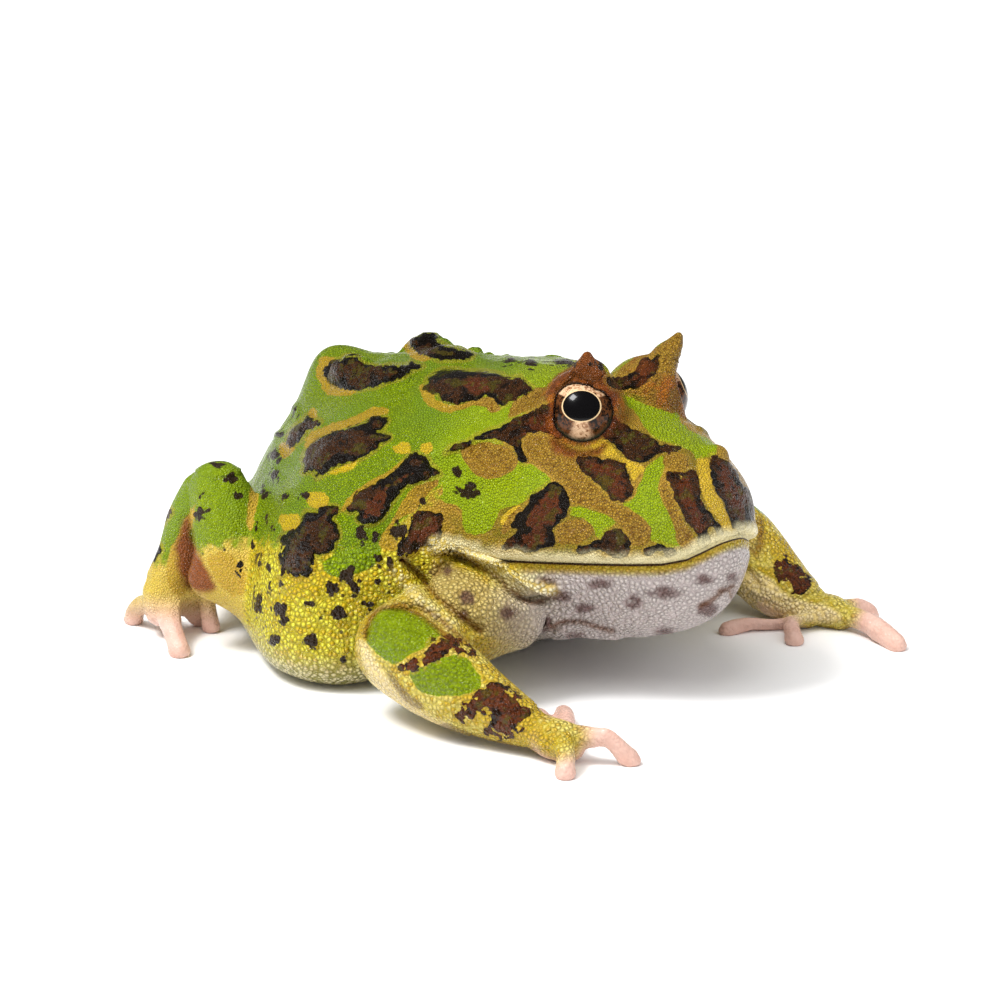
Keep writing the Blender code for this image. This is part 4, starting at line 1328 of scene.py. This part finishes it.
# %% [markdown]
# A brown patch has a nearly black edge of uneven width and a rusty, mossy core with dark clumps.
# Low on the flanks its border is torn into islands. A tan ring lies faintly round it.

# %% Brown patches
brown = field_of(tree, "brown")
torn = step_of(tree, noise_of(tree, place, scale=700.0, detail=2.0), 0.5, 0.62)
torn = times(tree, torn, rest_of(tree, upper))
torn = times(tree, torn, rest_of(tree, head))
brown = times_plus(tree, torn, -1.1, brown)
ring = step_of(tree, times_plus(tree, wave, 0.6, brown), -0.7, -0.4)
colour = mix_of(tree, times(tree, ring, 0.3), colour, TAN_PAINT)
edge = times_plus(tree, lively, 7.0, plus(tree, brown, -3.3))
edge = times_plus(tree, warts["Knob"], 1.0, times_plus(tree, wave, 1.5, edge))
edge = times_plus(tree, head, 0.35, edge)
dark_edge = larger(tree, step_of(tree, edge, 0.45, 0.75), times(tree, arms, 0.75))
core = mix_of(tree, step_of(tree, speckle, 0.4, 0.7), BROWN_PAINT, CORE_DARK)
rusty = mix_of(tree, speckle, RUST_PAINT, RUST_LIGHT)
core = mix_of(tree, cut("rust", soft=0.25, wander=1.6, knobs=0.6), core, rusty)
clumps = times(tree, step_of(tree, patchy, 0.45, 0.39), 0.85)
core = mix_of(tree, clumps, core, NEAR_BLACK)
mossy = times(tree, step_of(tree, patchy, 0.55, 0.62), 0.6)
core = mix_of(tree, mossy, core, MOSSY_BROWN)
patch = cut(None, soft=0.08, wander=0.7, knobs=0.55, field=plus(tree, brown, 0.08))
colour = mix_of(tree, patch, colour, mix_of(tree, dark_edge, NEAR_BLACK, core))
tell_nodes()

# %% [markdown]
# Small dark spots are outlines of their own. The finest specks follow single knobs, where a slow
# noise lets them, and only on the flanks. The chin has soft purple-brown spots.

# %% Dark spots and specks
spot_colour = mix_of(tree, speckle, NEAR_BLACK, SPOT_BROWN)
colour = mix_of(tree, cut("spots", soft=0.15, wander=1.9, knobs=1.1), colour, spot_colour)
cluster = step_of(tree, plus(tree, lively, times(tree, wave, 0.3)), 0.53, 0.57)
specks = times(tree, step_of(tree, warts["Knob"], 0.16, 0.24), cluster)
for name in ("chin", "belly", "head", "digits", "sleek", "arms"):
    specks = times(tree, specks, rest_of(tree, field_of(tree, name)))
specks = times(tree, specks, math_of(tree, "SUBTRACT", 0.85, upper))
colour = mix_of(tree, specks, colour, SPECK_BROWN)
chin_spots = times(tree, cut("chin_spots", soft=0.45, wander=0.8, knobs=0.3), 0.85)
colour = mix_of(tree, chin_spots, colour, PURPLE_BROWN)
tell_nodes()

# %% [markdown]
# The last coats are small: rusty lids with a painted shade of near black at their edge by the eye,
# the cream upper lip, the gold lower lip, a painted shadow of dark brown in the slit between them,
# pink digits, pale ridges, and creases darkened by painted shade and brown pigment.

# %% Lids, lips, digits and folds
from_eye = field_of(tree, "from_eye")
lid = times_plus(tree, wave, 0.8, from_eye)
lid_colour = mix_of(tree, step_of(tree, patchy, 0.4, 0.6), LID_ORANGE, LID_BROWN)
colour = mix_of(tree, times(tree, step_of(tree, lid, 7.0, 6.2), 0.75), colour, lid_colour)
# Painted shade: a near-black rim where the lid meets the eye.
colour = mix_of(tree, step_of(tree, from_eye, 6.25, 5.75), colour, LID_EDGE_SHADE)
high = field_of(tree, "above_mouth")
mouth = field_of(tree, "mouth")
lip = step_of(tree, times_plus(tree, wave, 1.6, high), 2.7, 0.7)
lip = times(tree, lip, step_of(tree, high, 0.0, 0.1))
# A faint painted shade of tan in the gaps between the lip's grains.
lip_colour = mix_of(tree, times(tree, fine["Gap shade"], 0.1), LIP_CREAM, TAN_PAINT)
colour = mix_of(tree, times(tree, lip, times(tree, mouth, 0.9)), colour, lip_colour)
under = times(tree, step_of(tree, high, -1.9, -0.8), step_of(tree, high, 0.1, -0.1))
colour = mix_of(tree, times(tree, under, times(tree, mouth, 0.5)), colour, LIP_GOLD)
# Painted shadow: dark brown in the mouth slit between the lips.
slit = step_of(tree, math_of(tree, "ABSOLUTE", plus(tree, high, 0.02)), 0.24, 0.08)
colour = mix_of(tree, times(tree, slit, mouth), colour, SLIT_SHADOW)
colour = mix_of(tree, digits, colour, mix_of(tree, patchy, PINK, PINK_DARK))
# Painted shade: golden in the gaps between the pale grains of the ridges and warts.
pale_skin = mix_of(tree, gap, CREAM, GOLDEN)
colour = mix_of(tree, times(tree, field_of(tree, "pale_fold"), 0.75), colour, pale_skin)
# Painted shade, with some brown pigment, darkens the creases.
crease = times(tree, field_of(tree, "crease"), 0.8)
colour = mix_of(tree, crease, colour, CREASE_SHADE_BROWN)
tree.links.new(colour, shader.inputs["Base Color"])
tell_nodes()

# %% [markdown]
# Grain is felt as well as seen, so the same heights feed a bump. Digits, legs and lips are
# smoother, and dark warts rougher. The skin is moist, most of all on the arms' green.

# %% The feel of the surface
BUMP_METRES = 0.00042
SLEEKEST, DULLEST, WETTEST = 0.14, 0.34, 0.1

height = mix_value(tree, small, coarse["Height"], times(tree, fine["Height"], 0.7))
height = mix_value(tree, wet, height, times(tree, coarse["Height"], 0.6))
bump = tree.nodes.new("ShaderNodeBump")
bump.inputs["Strength"].default_value = 1.0
bump.inputs["Distance"].default_value = BUMP_METRES
plain = larger(tree, digits, times(tree, sleek, 0.6))
lip_share = times(tree, times(tree, lip, mouth), 0.7)
plain = larger(tree, plain, lip_share)
smooth = times_plus(tree, plain, -0.85, 1.0)
height = times(tree, height, smooth)
dark_skin = step_of(tree, brown, -0.3, 0.2)
lumps = times(tree, plus(tree, warts["Knob"], 0.5), dark_skin)
height = times_plus(tree, lumps, 2.2, height)
tree.links.new(height, bump.inputs["Height"])
tree.links.new(bump.outputs["Normal"], shader.inputs["Normal"])
rough = step_of(tree, patchy, 0.35, 0.65, SLEEKEST, DULLEST)
rough = mix_value(tree, wet, rough, WETTEST)
tree.links.new(rough, shader.inputs["Roughness"])
shader.inputs["Specular IOR Level"].default_value = 0.3

skin.data.materials.append(material)
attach(skin, "root")
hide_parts(*FLESH)
tell_nodes()

# %% [markdown]
# A horned frog's eye is a wet ball with a wide black pupil, a thin pale ring round it, and an
# iris that is bronze and dark brown at the sides and creamy above and below. The ball is added as
# a sphere whose pole looks where the frog looks, and its front is drawn out a little, as the
# clear cornea is. The iris is painted by the place on the ball.

# %% Shape the eyes
PUPIL_PIXEL = (581.3, 405.5)
PUPIL_WIDE = 0.49
PUPIL_HIGH = 0.41
IRIS = 0.86
CORNEA_BULGE = 0.25


def eye_place(name):
    low, high = (np.array(corner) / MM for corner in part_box(name))
    return (low + high) / 2, (high - low).max() / 2


def gaze_of(centre, radius):
    """The way from the eye's middle to the pupil that the camera sees."""
    way = ray_of(*PUPIL_PIXEL)
    offset = EYE_POINT - centre
    middle = offset @ way
    depth = -middle - math.sqrt(middle**2 - offset @ offset + radius**2)
    front = offset + way * depth
    return front / np.linalg.norm(front)


right_centre, EYE_RADIUS = eye_place("eye_R")
left_centre, _ = eye_place("eye_L")
right_gaze = gaze_of(right_centre, EYE_RADIUS)
two = np.stack((right_centre, right_centre + right_gaze * 5))
twins = mirror(two)
left_gaze = (twins[1] - twins[0]) / np.linalg.norm(twins[1] - twins[0])


def add_eye(name, centre, gaze):
    bpy.ops.object.select_all(action="DESELECT")
    turn = Vector(gaze).to_track_quat("Z", "Y")
    bpy.ops.mesh.primitive_uv_sphere_add(segments=96, ring_count=64, radius=EYE_RADIUS * MM)
    eye = bpy.context.active_object
    eye.name = eye.data.name = name
    places = places_of(eye)
    share = np.clip(places[:, 2] / EYE_RADIUS, 0, 1)
    places[:, 2] += CORNEA_BULGE * smooth_step(share, 0.55, 1.0)
    places = places @ np.array(turn.to_matrix()).T + centre
    move_to(eye, places)
    select_only(eye)
    bpy.ops.object.shade_smooth()
    return eye


def dot_of(tree, vector, direction):
    node = tree.nodes.new("ShaderNodeVectorMath")
    node.operation = "DOT_PRODUCT"
    tree.links.new(vector, node.inputs[0])
    node.inputs[1].default_value = tuple(direction)
    return node.outputs["Value"]


def mix_eye(name, centre, gaze):
    material, tree, shader = new_material(name)
    place = object_place(tree)
    shift = tree.nodes.new("ShaderNodeVectorMath")
    shift.operation = "SUBTRACT"
    tree.links.new(place, shift.inputs[0])
    shift.inputs[1].default_value = tuple(centre * MM)
    level = np.cross((0, 0, 1), gaze)
    level /= np.linalg.norm(level)
    upright = np.cross(gaze, level)
    size = EYE_RADIUS * MM
    across = dot_of(tree, shift.outputs[0], level / size)
    upward = dot_of(tree, shift.outputs[0], upright / size)
    front = dot_of(tree, shift.outputs[0], gaze / size)

    def ellipse(wide, high):
        first = math_of(tree, "POWER", math_of(tree, "DIVIDE", across, wide), 2.0)
        second = math_of(tree, "POWER", math_of(tree, "DIVIDE", upward, high), 2.0)
        return math_of(tree, "SQRT", plus(tree, first, second))

    pupil = ellipse(PUPIL_WIDE, PUPIL_HIGH)
    ring = ellipse(IRIS, IRIS)
    mottle = noise_of(tree, place, scale=1500.0, detail=4.0, twist=1.2)
    side = math_of(tree, "ABSOLUTE", math_of(tree, "DIVIDE", across,
                  larger(tree, math_of(tree, "ABSOLUTE", upward), 0.02)))
    above = step_of(tree, upward, -0.1, 0.1)
    side = times_plus(tree, above, -1.3, side)
    side = times_plus(tree, mottle, 0.8, plus(tree, side, -0.4))
    pale = mix_of(tree, step_of(tree, mottle, 0.35, 0.6), paint(150, 104, 70),
                  paint(226, 190, 152))
    dark = mix_of(tree, step_of(tree, mottle, 0.42, 0.6), paint(22, 13, 8), paint(96, 56, 28))
    iris = mix_of(tree, step_of(tree, side, 0.3, 0.55), pale, dark)
    iris = mix_of(tree, step_of(tree, mottle, 0.36, 0.3), iris, paint(26, 18, 14))
    outer = mix_of(tree, mottle, paint(92, 102, 78), paint(30, 28, 22))
    colour = mix_of(tree, step_of(tree, ring, 0.86, 1.0), iris, outer)
    rim = times(tree, step_of(tree, pupil, 0.98, 1.01),
                 step_of(tree, pupil, 1.09, 1.03))
    colour = mix_of(tree, rim, colour, paint(226, 196, 150))
    colour = mix_of(tree, step_of(tree, pupil, 1.01, 0.98), colour, paint(9, 8, 9))
    colour = mix_of(tree, step_of(tree, front, 0.3, 0.1), colour, paint(60, 44, 34))
    tree.links.new(colour, shader.inputs["Base Color"])
    shader.inputs["Roughness"].default_value = 0.22
    shader.inputs["Specular IOR Level"].default_value = 0.1
    shader.inputs["Coat Weight"].default_value = 0.55
    shader.inputs["Coat Roughness"].default_value = 0.01
    shader.inputs["Coat IOR"].default_value = 1.33
    return material


for node, centre, gaze in (("eye_R", right_centre, right_gaze), ("eye_L", left_centre, left_gaze)):
    side = "right" if node.endswith("R") else "left"
    eye = add_eye(side + "_eye_ball", centre, gaze)
    eye.data.materials.append(mix_eye("wet " + side + " eye", centre, gaze))
    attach(eye, "root")
    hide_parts(node)
print(f"each eye is {EYE_RADIUS * 2:.1f} mm across")

# %% [markdown]
# The studio is plain: a wide white floor, a window-shaped light high on the left that makes the
# bright fleck in the eye, a weak broad one to fill, and soft even daylight from above. The
# colours are shown as they are, without a film look.

# %% Floor and lights
FLOOR_SIZE = 1.8
KEY_WATTS, FILL_WATTS, DAYLIGHT = 7.4, 2.6, 1.9
ROOM_GLOW, LESS_IN_GLOSS = 0.42, 0.28


def add_floor():
    bpy.ops.object.select_all(action="DESELECT")
    bpy.ops.mesh.primitive_plane_add(size=FLOOR_SIZE, location=(0, 0, 0))
    floor = bpy.context.active_object
    floor.name = floor.data.name = "studio_floor"
    material, tree, shader = new_material("white floor")
    soft = noise_of(tree, object_place(tree), 6.0, 1.0)
    tree.links.new(mix_of(tree, soft, paint(250, 250, 250), paint(255, 255, 255)),
                   shader.inputs["Base Color"])
    shader.inputs["Roughness"].default_value = 0.6
    floor.data.materials.append(material)
    return floor


def add_light(name, place, aim, power, wide, high):
    light = bpy.data.lights.new(name, "AREA")
    light.shape = "RECTANGLE"
    light.size, light.size_y = wide, high
    light.energy = power
    lamp = bpy.data.objects.new(name, light)
    lamp.location = Vector(place)
    lamp.rotation_euler = (Vector(place) - Vector(aim)).to_track_quat("Z", "Y").to_euler()
    bpy.context.scene.collection.objects.link(lamp)
    return lamp


floor = add_floor()
to_camera, view_right = Vector(TO_CAMERA), Vector(VIEW_RIGHT)
middle = Vector(AIM * MM)
key = middle + to_camera * 0.25 - view_right * 0.45 + Vector((0, 0, 0.75))
add_light("soft key", key, middle, KEY_WATTS, 0.3, 0.26)
fill = middle + to_camera * 0.55 + view_right * 0.55 + Vector((0, 0, 0.35))
soft_fill = add_light("fill", fill, middle, FILL_WATTS, 1.0, 0.8)
soft_fill.visible_glossy = False
bpy.ops.object.light_add(type="SUN", location=key)
daylight = bpy.context.active_object
daylight.name = daylight.data.name = "soft daylight"
from_above = to_camera * 0.3 - view_right * 0.4 + Vector((0, 0, 1))
daylight.rotation_euler = from_above.to_track_quat("Z", "Y").to_euler()
daylight.data.energy = DAYLIGHT
daylight.data.angle = math.radians(60)
daylight.visible_glossy = False
world = bpy.data.worlds.new("pale room")
world.use_nodes = True
air = world.node_tree
ray = air.nodes.new("ShaderNodeLightPath").outputs
air.nodes["Background"].inputs["Color"].default_value = (1, 1, 1, 1)
glow = times_plus(air, ray["Is Glossy Ray"], -LESS_IN_GLOSS, ROOM_GLOW)
glow = larger(air, glow, ray["Is Camera Ray"])
air.links.new(glow, air.nodes["Background"].inputs["Strength"])
bpy.context.scene.world = world
bpy.context.scene.view_settings.view_transform = "Standard"
print("the key light is", round((key - middle).length, 2), "m away")
